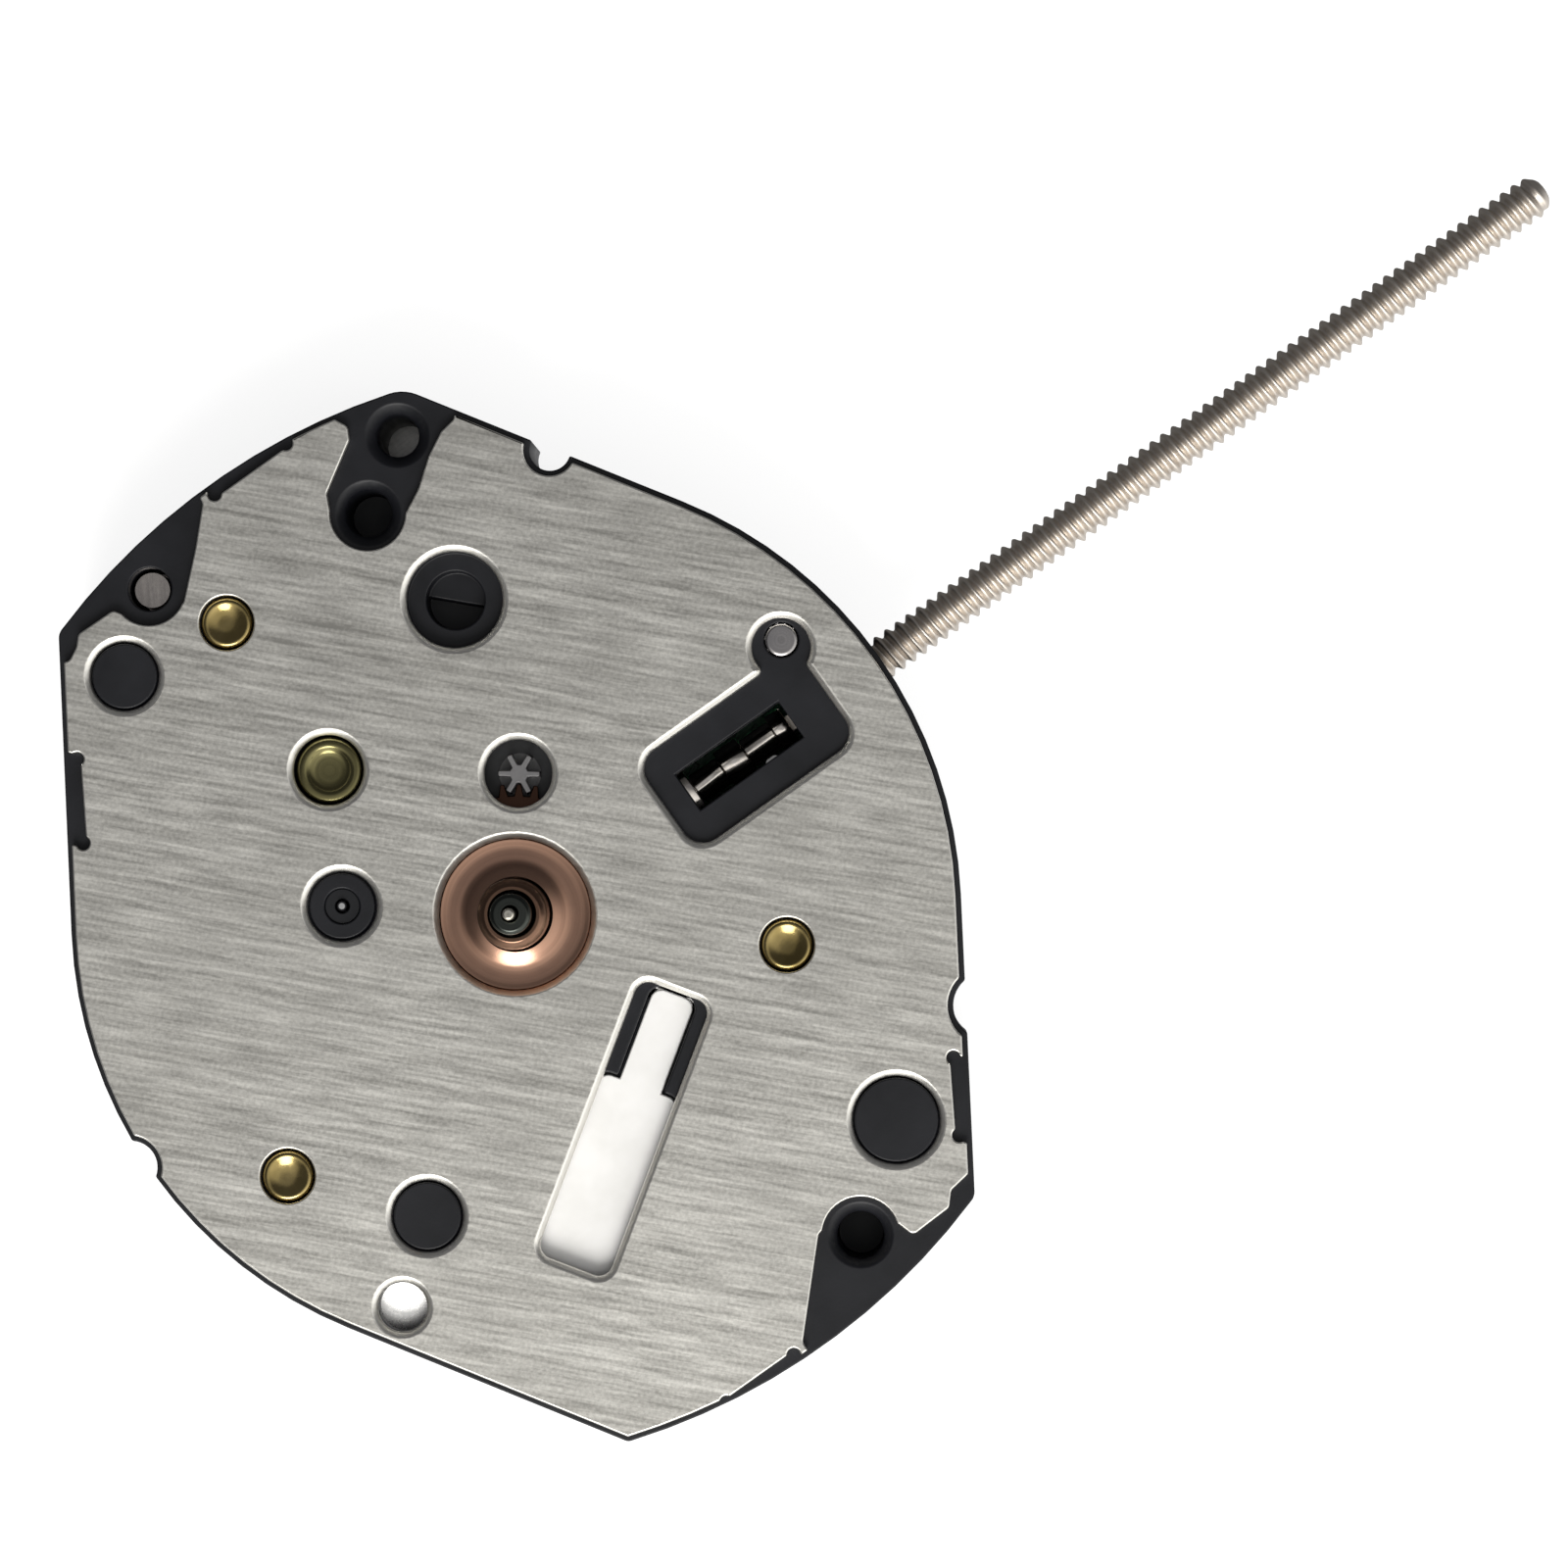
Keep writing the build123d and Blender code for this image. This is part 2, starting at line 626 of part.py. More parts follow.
# Main plate
with BuildPart() as main_plate:
    with BuildSketch(Plane.XY.offset(back_face)):
        add(notched_outline())
    extrude(amount=plate_top - back_face)
    with BuildSketch(Plane.XY.offset(cover_top)):
        add(notched_outline())
        add(movement_outline(rim_width), mode=Mode.SUBTRACT)
        with Locations(battery_axis):
            Circle(battery_tower)
        add(notched_outline(), mode=Mode.INTERSECT)
    extrude(amount=back_face - cover_top)
    # Studs and the rotor boss that stand up into the steel plate
    with BuildSketch(Plane.XY.offset(plate_top)):
        for stud, radius in zip(studs, stud_radii):
            with Locations(stud):
                Circle(radius)
    extrude(amount=stud_top - plate_top)
    with BuildSketch(Plane.XY.offset(plate_top)):
        with Locations(rotor_axis):
            Circle(rotor_boss_radius)
    extrude(amount=-plate_top / 2)
    # Cavity of the motion work
    with BuildSketch(Plane.XY.offset(hour_disc_top - hour_disc_thickness - wheel_gap)):
        Circle(hour_tip + wheel_gap)
    extrude(amount=overrun + movement_height, mode=Mode.SUBTRACT)
    with BuildSketch(Plane.XY.offset(motion_floor)):
        Circle(cannon_tip + wheel_gap)
        with Locations(minute_axis):
            Circle(minute_tip + wheel_gap)
        with Locations(setting_axis):
            Circle(setting_tip + wheel_gap)
    extrude(amount=overrun + movement_height, mode=Mode.SUBTRACT)
    # Bearing holes in the floor of that cavity
    with BuildSketch(Plane.XY.offset(web_bottom - overrun)):
        Circle(minute_post_radius + running_gap)
    extrude(amount=overrun + movement_height, mode=Mode.SUBTRACT)
    with BuildSketch(Plane.XY.offset(motion_floor)):
        with Locations(minute_axis, setting_axis):
            Circle(arbor_radius + running_gap)
    extrude(amount=web_bottom - motion_floor + wheel_gap, mode=Mode.SUBTRACT)
    # Pocket of the train, open to the back
    with BuildSketch(Plane.XY.offset(back_face - overrun)):
        with Locations((0, 0), third_axis):
            Circle(train_pocket_radius)
        with Locations(fifth_axis):
            Circle(fifth_tip + wheel_gap)
        with Locations(rotor_axis):
            Circle(stator_hole_radius)
    extrude(amount=web_bottom - back_face + overrun, mode=Mode.SUBTRACT)
    with BuildSketch(Plane.XY.offset(back_face - overrun)):
        add(bridge_face(pocket_gap))
    extrude(amount=bridge_thickness + overrun, mode=Mode.SUBTRACT)
    # Upper bearings of the train in the web
    with BuildSketch(Plane.XY.offset(web_bottom)):
        with Locations(third_axis, fifth_axis):
            Circle(pivot_radius + running_gap)
    extrude(amount=upper_pivot_length + running_gap, mode=Mode.SUBTRACT)
    with BuildSketch(Plane.XY.offset(web_bottom - overrun)):
        with Locations(rotor_axis):
            Circle(arbor_radius + running_gap)
    extrude(amount=overrun + movement_height, mode=Mode.SUBTRACT)
    with BuildSketch(Plane.XY.offset(plate_top)):
        with Locations(rotor_axis):
            Circle(rotor_bearing_radius)
    extrude(amount=overrun, mode=Mode.SUBTRACT)
    # Battery well
    with BuildSketch(Plane.XY.offset(battery_ceiling)):
        with Locations(battery_axis):
            Circle(battery_pocket_radius)
    extrude(amount=-movement_height, mode=Mode.SUBTRACT)
    # Slot of the battery contact, its window to the battery and the hole for its leg
    with BuildSketch(Plane.XY.offset(strip_top - strip_thickness)):
        add(slot_face(slot_length, strip_width, slot_corner))
        add(slot_face(
            strip_wide_length + strip_overlap, slot_width + strip_overlap, slot_corner,
            (strip_wide_length - slot_length) / 2,
        ))
    extrude(amount=overrun, mode=Mode.SUBTRACT)
    with BuildSketch(Plane.XY.offset(battery_top - overrun)):
        add(slot_face(
            strip_wide_length / 2, strip_width, slot_corner, (strip_wide_length / 2 - slot_length) / 2
        ))
    extrude(amount=overrun - battery_top + strip_top, mode=Mode.SUBTRACT)
    with BuildSketch(Plane.XY.offset(back_face - overrun)):
        with Locations(slanted(strip_leg_place, slot_angle)):
            Rectangle(2 * strip_thickness + 2 * pocket_gap, strip_width)
    extrude(amount=strip_top - back_face + overrun, mode=Mode.SUBTRACT)
    # Pocket of the other battery contact, and the hole over it
    with BuildSketch(Plane.XY.offset(back_face - overrun)):
        with Locations(slanted(polar(
            battery_axis, battery_radius + positive_tab_length / 2, tab_way
        ), tab_way)):
            Rectangle(positive_tab_length + 2 * pocket_gap, positive_tab_width + 2 * pocket_gap)
    extrude(amount=positive_tab_top - back_face + overrun, mode=Mode.SUBTRACT)
    with BuildSketch(Plane.XY.offset(positive_tab_top - overrun)):
        with Locations(place(left_hole_share)):
            Circle(left_hole_radius)
    extrude(amount=movement_height, mode=Mode.SUBTRACT)
    # Coil, core and stator pockets
    with BuildSketch(Plane.XY.offset(back_face - overrun)):
        with Locations(slanted(coil_centre, coil_angle)):
            Rectangle(coil_length + 2 * pocket_gap, 2 * coil_radius + 2 * pocket_gap)
    extrude(
        amount=core_top - core_thickness / 2 + coil_radius + pocket_gap - back_face + overrun,
        mode=Mode.SUBTRACT,
    )
    with BuildSketch(Plane.XY.offset(back_face - overrun)):
        add(core_face(pocket_gap))
    extrude(amount=core_top - back_face + overrun, mode=Mode.SUBTRACT)
    with BuildSketch(Plane.XY.offset(back_face - overrun)):
        add(stator_face(pocket_gap))
    extrude(amount=stator_top - back_face + overrun, mode=Mode.SUBTRACT)
    # Bores of the three posts
    with BuildSketch(Plane.XY.offset(cover_top - overrun)):
        with Locations(*posts):
            Circle(post_radius)
    extrude(amount=movement_height + overrun, mode=Mode.SUBTRACT)
    # Bore of the bridge insert, and of the other bridge screws
    with BuildSketch(Plane.XY.offset(back_face - overrun)):
        with Locations(insert_place):
            Circle(insert_radius)
    extrude(amount=movement_height + overrun, mode=Mode.SUBTRACT)
    with BuildSketch(Plane.XY.offset(insert_top - insert_flange_thickness)):
        with Locations(insert_place):
            Circle(insert_hole_radius)
    extrude(amount=overrun, mode=Mode.SUBTRACT)
    with BuildSketch(Plane.XY.offset(bridge_top - overrun)):
        with Locations(*bridge_screws_at[:2]):
            Circle(bridge_screw_radius)
    extrude(amount=bridge_screw_depth + overrun, mode=Mode.SUBTRACT)
    # Pockets of the crystal and of the chip
    with BuildSketch(Plane.XY.offset(back_face - overrun)):
        with Locations(slanted(crystal_centre, crystal_angle)):
            Rectangle(crystal_length + lead_length + 2 * pocket_gap, crystal_box)
    extrude(amount=2 * crystal_radius + pocket_gap + overrun, mode=Mode.SUBTRACT)
    with BuildSketch(Plane.XY.offset(back_face - overrun)):
        with Locations(chip_centre):
            Rectangle(chip_size + 2 * pocket_gap, chip_size + 2 * pocket_gap)
    extrude(amount=chip_height + pocket_gap + overrun, mode=Mode.SUBTRACT)
    # Room for the stem, the clutch and the levers
    with BuildSketch(Plane.XY.offset(back_face - overrun)):
        with Locations(((clutch_inner_end + stem_box_end - stem_travel) / 2, 0)):
            Rectangle(stem_box_end + stem_travel - clutch_inner_end, 2 * clutch_box_half_width)
        add(wrapped_face(
            (lever_axle, lever_hub_radius + arm_gap), (groove_middle, clutch_box_half_width),
        ))
        add(movement_outline(rim_width), mode=Mode.INTERSECT)
    extrude(amount=clutch_box_top - back_face + overrun, mode=Mode.SUBTRACT)
    with BuildSketch(Plane.XY.offset(back_face - overrun)):
        add(wrapped_face(
            (lever_tail, lever_tail_radius + 2 * arm_gap),
            (lever_tail_pulled, lever_tail_radius + 2 * arm_gap),
            (lever_axle, lever_hub_radius + arm_gap),
        ))
    extrude(amount=lever_top + arm_gap - back_face + overrun, mode=Mode.SUBTRACT)
    with BuildSketch(Plane.XY.offset(back_face - overrun)):
        add(wrapped_face(
            (yoke_axis, yoke_hub_radius + arm_gap), (yoke_tip, 2 * lever_hub_radius),
        ))
    extrude(amount=yoke_top + arm_gap - back_face + overrun, mode=Mode.SUBTRACT)
    with BuildSketch(Plane.XY.offset(back_face - overrun)):
        add(wrapped_face(
            (reset_axis, reset_hub_radius + arm_gap), (reset_pad, reset_pad_radius + arm_gap),
        ))
        with Locations(polar(reset_pad, reset_pad_radius + arm_gap, reset_pad_angle + 180)):
            Circle(reset_pad_radius + arm_gap)
    extrude(amount=reset_top + arm_gap - back_face + overrun, mode=Mode.SUBTRACT)
    # Sight slot over the clutch, and the seats of the three lever pins
    with BuildSketch(Plane.XY.offset(clutch_box_top - overrun)):
        with Locations(((sight_start + sight_end) / 2, 0)):
            Rectangle(sight_end - sight_start, 2 * sight_half_width)
    extrude(amount=movement_height, mode=Mode.SUBTRACT)
    with BuildSketch(Plane.XY.offset(clutch_box_top - overrun)):
        with Locations(lever_axle):
            Circle(lever_axle_radius)
    extrude(amount=movement_height, mode=Mode.SUBTRACT)
    with BuildSketch(Plane.XY.offset(yoke_top)):
        with Locations(yoke_axis):
            Circle(yoke_pin_radius)
    extrude(amount=pin_foot - yoke_top, mode=Mode.SUBTRACT)
    with BuildSketch(Plane.XY.offset(reset_top)):
        with Locations(reset_axis):
            Circle(reset_pin_radius)
    extrude(amount=pin_foot - reset_top, mode=Mode.SUBTRACT)
    # Stem bore in the edge and its inner bearing
    with BuildSketch(Plane.YZ.offset(stem_box_end - overrun)):
        with Locations((0, stem_level)):
            Circle(stem_radius + running_gap)
    extrude(amount=side_radius, mode=Mode.SUBTRACT)
    with BuildSketch(Plane.YZ.offset(stem_inner_end - pocket_gap)):
        with Locations((0, stem_level)):
            Circle(stem_pilot_radius + running_gap)
    extrude(amount=clutch_inner_end - stem_inner_end, mode=Mode.SUBTRACT)
    # Dial foot bores, the plain recess and the ear holes
    with BuildSketch(Plane.XY.offset(plate_top)):
        with Locations(*[place(shares) for shares in dial_bore_shares]):
            Circle(dial_bore_radius)
    extrude(amount=-dial_bore_depth, mode=Mode.SUBTRACT)
    with BuildSketch(Plane.XY.offset(plate_top)):
        with Locations(*[place(shares) for shares in dial_bore_shares]):
            Circle(dial_bore_radius + dial_bore_sink)
    extrude(amount=-dial_bore_sink, taper=45, mode=Mode.SUBTRACT)
    with BuildSketch(Plane.XY.offset(plate_top)):
        with Locations(place(dowel_recess_share)):
            Circle(recess_radius)
    extrude(amount=-recess_depth, mode=Mode.SUBTRACT)
    with BuildSketch(Plane.XY.offset(plate_top)):
        with Locations(place(dowel_recess_share)):
            Circle(recess_inner_radius)
    extrude(amount=-recess_inner_depth, mode=Mode.SUBTRACT)
    with BuildSketch(Plane.XY.offset(plate_top)):
        with Locations(place(dowel_recess_share)):
            Circle(recess_inner_radius)
        with Locations(slanted(polar(
            place(dowel_recess_share), recess_inner_radius / 2, recess_step_angle - 90
        ), recess_step_angle)):
            Rectangle(2 * recess_inner_radius, recess_inner_radius, mode=Mode.INTERSECT)
    extrude(amount=-recess_step_depth, mode=Mode.SUBTRACT)
    with BuildSketch(Plane.XY.offset(cover_top)):
        with Locations(place(ear_hole_share)):
            Circle(ear_hole_radius)
    extrude(amount=movement_height, mode=Mode.SUBTRACT)
    with BuildSketch(Plane.XY.offset(plate_top)):
        with Locations(place(ear_hole_share)):
            Circle(ear_hole_radius + ear_hole_sink)
    extrude(amount=-ear_hole_sink, taper=45, mode=Mode.SUBTRACT)
    with BuildSketch(Plane.XY.offset(core_top - core_thickness)):
        with Locations(place(coil_hole_share)):
            Circle(coil_hole_radius)
    extrude(amount=movement_height, mode=Mode.SUBTRACT)
main_plate.part.label = "main_plate"

# Steel plate over the dial side
with BuildPart() as dial_side_plate:
    with BuildSketch(Plane.XY.offset(plate_top)):
        add(notched_outline(steel_inset))
        for cut_shares, hole_share, radius in ear_cuts:
            with BuildSketch(mode=Mode.PRIVATE) as cut:
                Polygon(*[place(shares) for shares in cut_shares], align=None)
                fillet(cut.vertices(), radius=ear_cut_corner)
            add(cut.sketch, mode=Mode.SUBTRACT)
            with Locations(place(hole_share)):
                Circle(radius, mode=Mode.SUBTRACT)
        for step_shares in edge_step_shares:
            first = place(step_shares[0])
            last = place(step_shares[1])
            add(wrapped_face(
                (first, edge_step_radius), (last, edge_step_radius),
                ((first[0] * edge_step_reach, first[1] * edge_step_reach), edge_step_radius),
                ((last[0] * edge_step_reach, last[1] * edge_step_reach), edge_step_radius),
            ), mode=Mode.SUBTRACT)
            with Locations(first, last):
                Circle(edge_nib_radius, mode=Mode.SUBTRACT)
        Circle(centre_hole_radius, mode=Mode.SUBTRACT)
        for stud, radius in zip(studs, stud_radii):
            with Locations(stud):
                Circle(radius + stud_gap, mode=Mode.SUBTRACT)
        with Locations(rotor_axis):
            Circle(rotor_boss_radius + boss_gap, mode=Mode.SUBTRACT)
        with Locations(insert_place):
            Circle(insert_hole_radius, mode=Mode.SUBTRACT)
        with Locations(place(dowel_recess_share)):
            Circle(recess_radius, mode=Mode.SUBTRACT)
        with Locations(minute_axis):
            Circle(minute_hole_radius, mode=Mode.SUBTRACT)
        with Locations(place(left_hole_share)):
            Circle(left_hole_radius, mode=Mode.SUBTRACT)
        add(slot_face(slot_length, slot_width, slot_corner), mode=Mode.SUBTRACT)
        with BuildSketch(mode=Mode.PRIVATE) as window:
            with Locations(((window_start + window_end) / 2, 0)):
                RectangleRounded(window_end - window_start, 2 * window_half_width, window_corner)
            with Locations(place(window_lobe_share)):
                Circle(window_lobe_radius)
            lobe_vertex = Vertex(*place(window_lobe_share))
            fillet(window.vertices().sort_by_distance(lobe_vertex)[:2], radius=window_neck_corner)
        add(window.sketch, mode=Mode.SUBTRACT)
    extrude(amount=dial_plate_thickness)
    top_face = dial_side_plate.faces().sort_by(Axis.Z)[-1]
    chamfer(top_face.inner_wires().edges(), length=plate_chamfer)
    with BuildSketch(Plane.XY.offset(plate_top)):
        with Locations(*posts):
            Circle(post_radius + stud_gap)
    extrude(amount=dial_plate_thickness, mode=Mode.SUBTRACT)
dial_side_plate.part.label = "dial_side_plate"

# Three brass posts with domed heads
with BuildPart() as brass_posts:
    with BuildSketch(Plane.XY.offset(cover_top)):
        with Locations(*posts):
            Circle(post_radius)
    extrude(amount=post_top - cover_top)
    chamfer(brass_posts.edges().group_by(Axis.Z)[-1], length=post_dome)
    with BuildSketch(Plane.XY.offset(cover_top)):
        with Locations(*posts):
            Circle(post_bore_radius)
    extrude(amount=movement_height / 2, mode=Mode.SUBTRACT)
brass_posts.part.label = "brass_posts"

# Threaded insert of the train bridge
with BuildPart() as bridge_insert:
    with BuildSketch(Plane.XY.offset(bridge_top)):
        with Locations(insert_place):
            Circle(insert_radius)
    extrude(amount=insert_top - bridge_top)
    with BuildSketch(Plane.XY.offset(insert_top - insert_flange_thickness)):
        with Locations(insert_place):
            Circle(insert_flange_radius)
    extrude(amount=insert_flange_thickness)
    with BuildSketch(Plane.XY.offset(bridge_top)):
        with Locations(insert_place):
            Circle(bridge_screw_radius)
    extrude(amount=bridge_screw_depth, mode=Mode.SUBTRACT)
bridge_insert.part.label = "bridge_insert"

# Bearing ring of the rotor in its boss
with BuildPart() as rotor_bearing:
    with BuildSketch(Plane.XY.offset(plate_top)):
        with Locations(rotor_axis):
            Circle(rotor_bearing_radius)
            Circle(pivot_radius + running_gap, mode=Mode.SUBTRACT)
    extrude(amount=-plate_top / 4)
rotor_bearing.part.label = "rotor_bearing"

# Hour wheel with its pipe
with BuildPart() as hour_wheel:
    with BuildSketch(Plane.XY.offset(hour_disc_top - hour_disc_thickness)):
        add(gear_face(hour_wheel_teeth, hour_module, hour_phase))
    extrude(amount=hour_disc_thickness)
    with BuildSketch(Plane.XZ):
        with BuildLine():
            Polyline(
                (0, hour_disc_top),
                (hour_pipe_foot_radius, hour_disc_top),
                (hour_pipe_radius, 0),
                (hour_pipe_radius, hour_pipe_height - hour_pipe_chamfer),
                (hour_pipe_radius - hour_pipe_chamfer, hour_pipe_height),
                (0, hour_pipe_height),
                close=True,
            )
        make_face()
    revolve(axis=Axis.Z)
    with BuildSketch(Plane.XY.offset(hour_disc_top - overrun)):
        Circle(hour_pipe_bore)
    extrude(amount=movement_height + hour_pipe_height, mode=Mode.SUBTRACT)
hour_wheel.part.label = "hour_wheel"

# Dished washer on the hour wheel
with BuildPart() as dial_washer:
    with BuildSketch(Plane.XZ):
        with BuildLine():
            Polyline(
                (washer_radius, hour_disc_top),
                (washer_radius, hour_disc_top + washer_thickness),
                (washer_cone_radius, hour_disc_top + 2 * washer_thickness),
                (hour_pipe_radius + running_gap, -washer_thickness),
                (hour_pipe_radius + running_gap, -2 * washer_thickness),
                (washer_cone_radius, hour_disc_top + washer_thickness),
                close=True,
            )
        make_face()
    revolve(axis=Axis.Z)
dial_washer.part.label = "dial_washer"

# Minute wheel with its pinion and lower pivot
with BuildPart() as minute_wheel:
    with BuildSketch(Plane.XY.offset(minute_disc_top - minute_disc_thickness)):
        with Locations(minute_axis):
            add(gear_face(minute_wheel_teeth, minute_module, minute_wheel_phase))
    extrude(amount=minute_disc_thickness)
    with BuildSketch(Plane.XY.offset(minute_disc_top)):
        with Locations(minute_axis):
            add(gear_face(minute_pinion_teeth, hour_module, minute_pinion_phase))
    extrude(amount=plate_top - wheel_gap - minute_disc_top)
    with BuildSketch(Plane.XY.offset(web_bottom + 2 * wheel_gap)):
        with Locations(minute_axis):
            Circle(arbor_radius)
    extrude(amount=minute_disc_top - web_bottom - 2 * wheel_gap)
minute_wheel.part.label = "minute_wheel"

# Setting wheel between the clutch and the minute wheel
with BuildPart() as setting_wheel:
    with BuildSketch(Plane.XY.offset(minute_disc_top - minute_disc_thickness)):
        with Locations(setting_axis):
            add(gear_face(setting_wheel_teeth, minute_module, setting_phase))
    extrude(amount=minute_disc_thickness)
    with BuildSketch(Plane.XY.offset(web_bottom + 2 * wheel_gap)):
        with Locations(setting_axis):
            Circle(arbor_radius)
    extrude(amount=minute_disc_top - web_bottom - 2 * wheel_gap)
setting_wheel.part.label = "setting_wheel"

# Cannon pinion, whose tube is the minute post
with BuildPart() as cannon_pinion:
    with BuildSketch(Plane.XZ):
        with BuildLine():
            Polyline(
                (0, web_bottom + running_gap),
                (minute_post_radius, web_bottom + running_gap),
                (minute_post_radius, minute_disc_top - minute_disc_thickness / 2),
                (minute_tube_radius, minute_disc_top - minute_disc_thickness / 2),
                (minute_post_radius, minute_seat_level),
                (minute_post_radius, minute_post_height - rim_chamfer),
                (minute_post_radius - rim_chamfer, minute_post_height),
                (0, minute_post_height),
                close=True,
            )
        make_face()
    revolve(axis=Axis.Z)
    with BuildSketch(Plane.XY.offset(minute_disc_top - minute_disc_thickness)):
        add(gear_face(cannon_teeth, minute_module, 0))
    extrude(amount=minute_disc_thickness)
    with BuildSketch(Plane.XY.offset(web_bottom - overrun)):
        Circle(centre_pipe_radius)
    extrude(amount=overrun + minute_disc_top - web_bottom, mode=Mode.SUBTRACT)
    with BuildSketch(Plane.XY.offset(web_bottom)):
        Circle(seconds_post_radius + running_gap)
    extrude(amount=movement_height + minute_post_height, mode=Mode.SUBTRACT)
cannon_pinion.part.label = "cannon_pinion"

# Centre wheel, whose pipe carries the cannon pinion
with BuildPart() as centre_wheel:
    with BuildSketch(Plane.XY.offset(centre_disc_top - train_disc_thickness)):
        add(gear_face(centre_wheel_teeth, centre_module, centre_phase))
    extrude(amount=train_disc_thickness)
    with BuildSketch(Plane.XY.offset(centre_disc_top)):
        Circle(minute_post_radius)
    extrude(amount=web_bottom + running_gap - centre_disc_top)
    with BuildSketch(Plane.XY.offset(centre_disc_top)):
        Circle(centre_pipe_radius)
    extrude(amount=minute_disc_top - centre_disc_top)
    with BuildSketch(Plane.XY.offset(centre_disc_top - overrun)):
        Circle(seconds_post_radius + running_gap)
    extrude(amount=movement_height, mode=Mode.SUBTRACT)
centre_wheel.part.label = "centre_wheel"

# Third wheel, its pinion in mesh with the centre wheel
with BuildPart() as third_wheel:
    with BuildSketch(Plane.XY.offset(bridge_top - bridge_thickness / 2)):
        with Locations(third_axis):
            Circle(pivot_radius)
    extrude(amount=web_bottom + upper_pivot_length - bridge_top + bridge_thickness / 2)
    with BuildSketch(Plane.XY.offset(bridge_top + running_gap)):
        with Locations(third_axis):
            Circle(third_arbor_radius)
    extrude(amount=web_bottom - bridge_top - 2 * running_gap)
    with BuildSketch(Plane.XY.offset(third_disc_top - train_disc_thickness)):
        with Locations(third_axis):
            add(gear_face(third_wheel_teeth, third_module, third_wheel_phase))
    extrude(amount=train_disc_thickness)
    with BuildSketch(Plane.XY.offset(centre_disc_top - train_disc_thickness - running_gap)):
        with Locations(third_axis):
            add(gear_face(third_pinion_teeth, centre_module, 0))
    extrude(amount=train_disc_thickness + 2 * running_gap)
third_wheel.part.label = "third_wheel"

# Seconds wheel, the fourth of the train, on the arbor that is the seconds post
with BuildPart() as seconds_wheel:
    with BuildSketch(Plane.XZ):
        with BuildLine():
            Polyline(
                (0, bridge_top - bridge_thickness / 2),
                (pivot_radius, bridge_top - bridge_thickness / 2),
                (pivot_radius, bridge_top + running_gap),
                (seconds_hub_radius, bridge_top + running_gap),
                (seconds_hub_radius, third_disc_top - train_disc_thickness - running_gap),
                (seconds_arbor_radius, third_disc_top - train_disc_thickness - running_gap),
                (seconds_post_radius, seconds_seat_level),
                (seconds_post_radius, seconds_post_height - seconds_post_radius / 4),
                (seconds_post_radius - seconds_post_radius / 4, seconds_post_height),
                (0, seconds_post_height),
                close=True,
            )
        make_face()
    revolve(axis=Axis.Z)
    with BuildSketch(Plane.XY.offset(fourth_disc_top - train_disc_thickness)):
        add(gear_face(fourth_wheel_teeth, fifth_module, 0))
    extrude(amount=train_disc_thickness)
    with BuildSketch(Plane.XY.offset(third_disc_top - train_disc_thickness - running_gap)):
        add(gear_face(fourth_pinion_teeth, third_module, 0))
    extrude(amount=train_disc_thickness + 2 * running_gap)
seconds_wheel.part.label = "seconds_wheel"

# Fifth wheel between the rotor and the seconds wheel
with BuildPart() as fifth_wheel:
    with BuildSketch(Plane.XY.offset(bridge_top - bridge_thickness / 2)):
        with Locations(fifth_axis):
            Circle(pivot_radius)
    extrude(amount=web_bottom + upper_pivot_length - bridge_top + bridge_thickness / 2)
    with BuildSketch(Plane.XY.offset(fourth_disc_top - train_disc_thickness - running_gap)):
        with Locations(fifth_axis):
            add(gear_face(fifth_pinion_teeth, fifth_module, fifth_pinion_phase))
    extrude(amount=train_disc_thickness + 2 * running_gap)
    with BuildSketch(Plane.XY.offset(fourth_disc_top)):
        with Locations(fifth_axis):
            Circle(arbor_radius)
    extrude(amount=web_bottom - fourth_disc_top - running_gap)
    with BuildSketch(Plane.XY.offset(fifth_disc_top - train_disc_thickness)):
        with Locations(fifth_axis):
            add(gear_face(fifth_wheel_teeth, rotor_module, 0))
    extrude(amount=train_disc_thickness)
fifth_wheel.part.label = "fifth_wheel"

# Rotor arbor with its pinion
magnet_top = stator_top - stator_thickness / 2 + magnet_height / 2
with BuildPart() as rotor_pinion:
    with BuildSketch(Plane.XY.offset(bridge_top - bridge_thickness / 2)):
        with Locations(rotor_axis):
            Circle(pivot_radius)
    extrude(amount=plate_top / 4 - bridge_top + bridge_thickness / 2)
    with BuildSketch(Plane.XY.offset(bridge_top + running_gap)):
        with Locations(rotor_axis):
            Circle(magnet_bore)
    extrude(amount=magnet_top - bridge_top + running_gap)
    with BuildSketch(Plane.XY.offset(magnet_top)):
        with Locations(rotor_axis):
            Circle(rotor_arbor_radius)
    extrude(amount=fifth_disc_top - magnet_top)
    with BuildSketch(Plane.XY.offset(fifth_disc_top - train_disc_thickness - running_gap)):
        with Locations(rotor_axis):
            add(gear_face(rotor_pinion_teeth, rotor_module, rotor_phase))
    extrude(amount=train_disc_thickness + 2 * running_gap)
    with BuildSketch(Plane.XY.offset(fifth_disc_top)):
        with Locations(rotor_axis):
            Circle(arbor_radius)
    extrude(amount=web_bottom - fifth_disc_top + wheel_gap)
rotor_pinion.part.label = "rotor_pinion"

# Rotor magnet
with BuildPart() as rotor_magnet:
    with BuildSketch(Plane.XY.offset(magnet_top - magnet_height)):
        with Locations(rotor_axis):
            Circle(magnet_radius)
            Circle(magnet_bore, mode=Mode.SUBTRACT)
    extrude(amount=magnet_height)
rotor_magnet.part.label = "rotor_magnet"

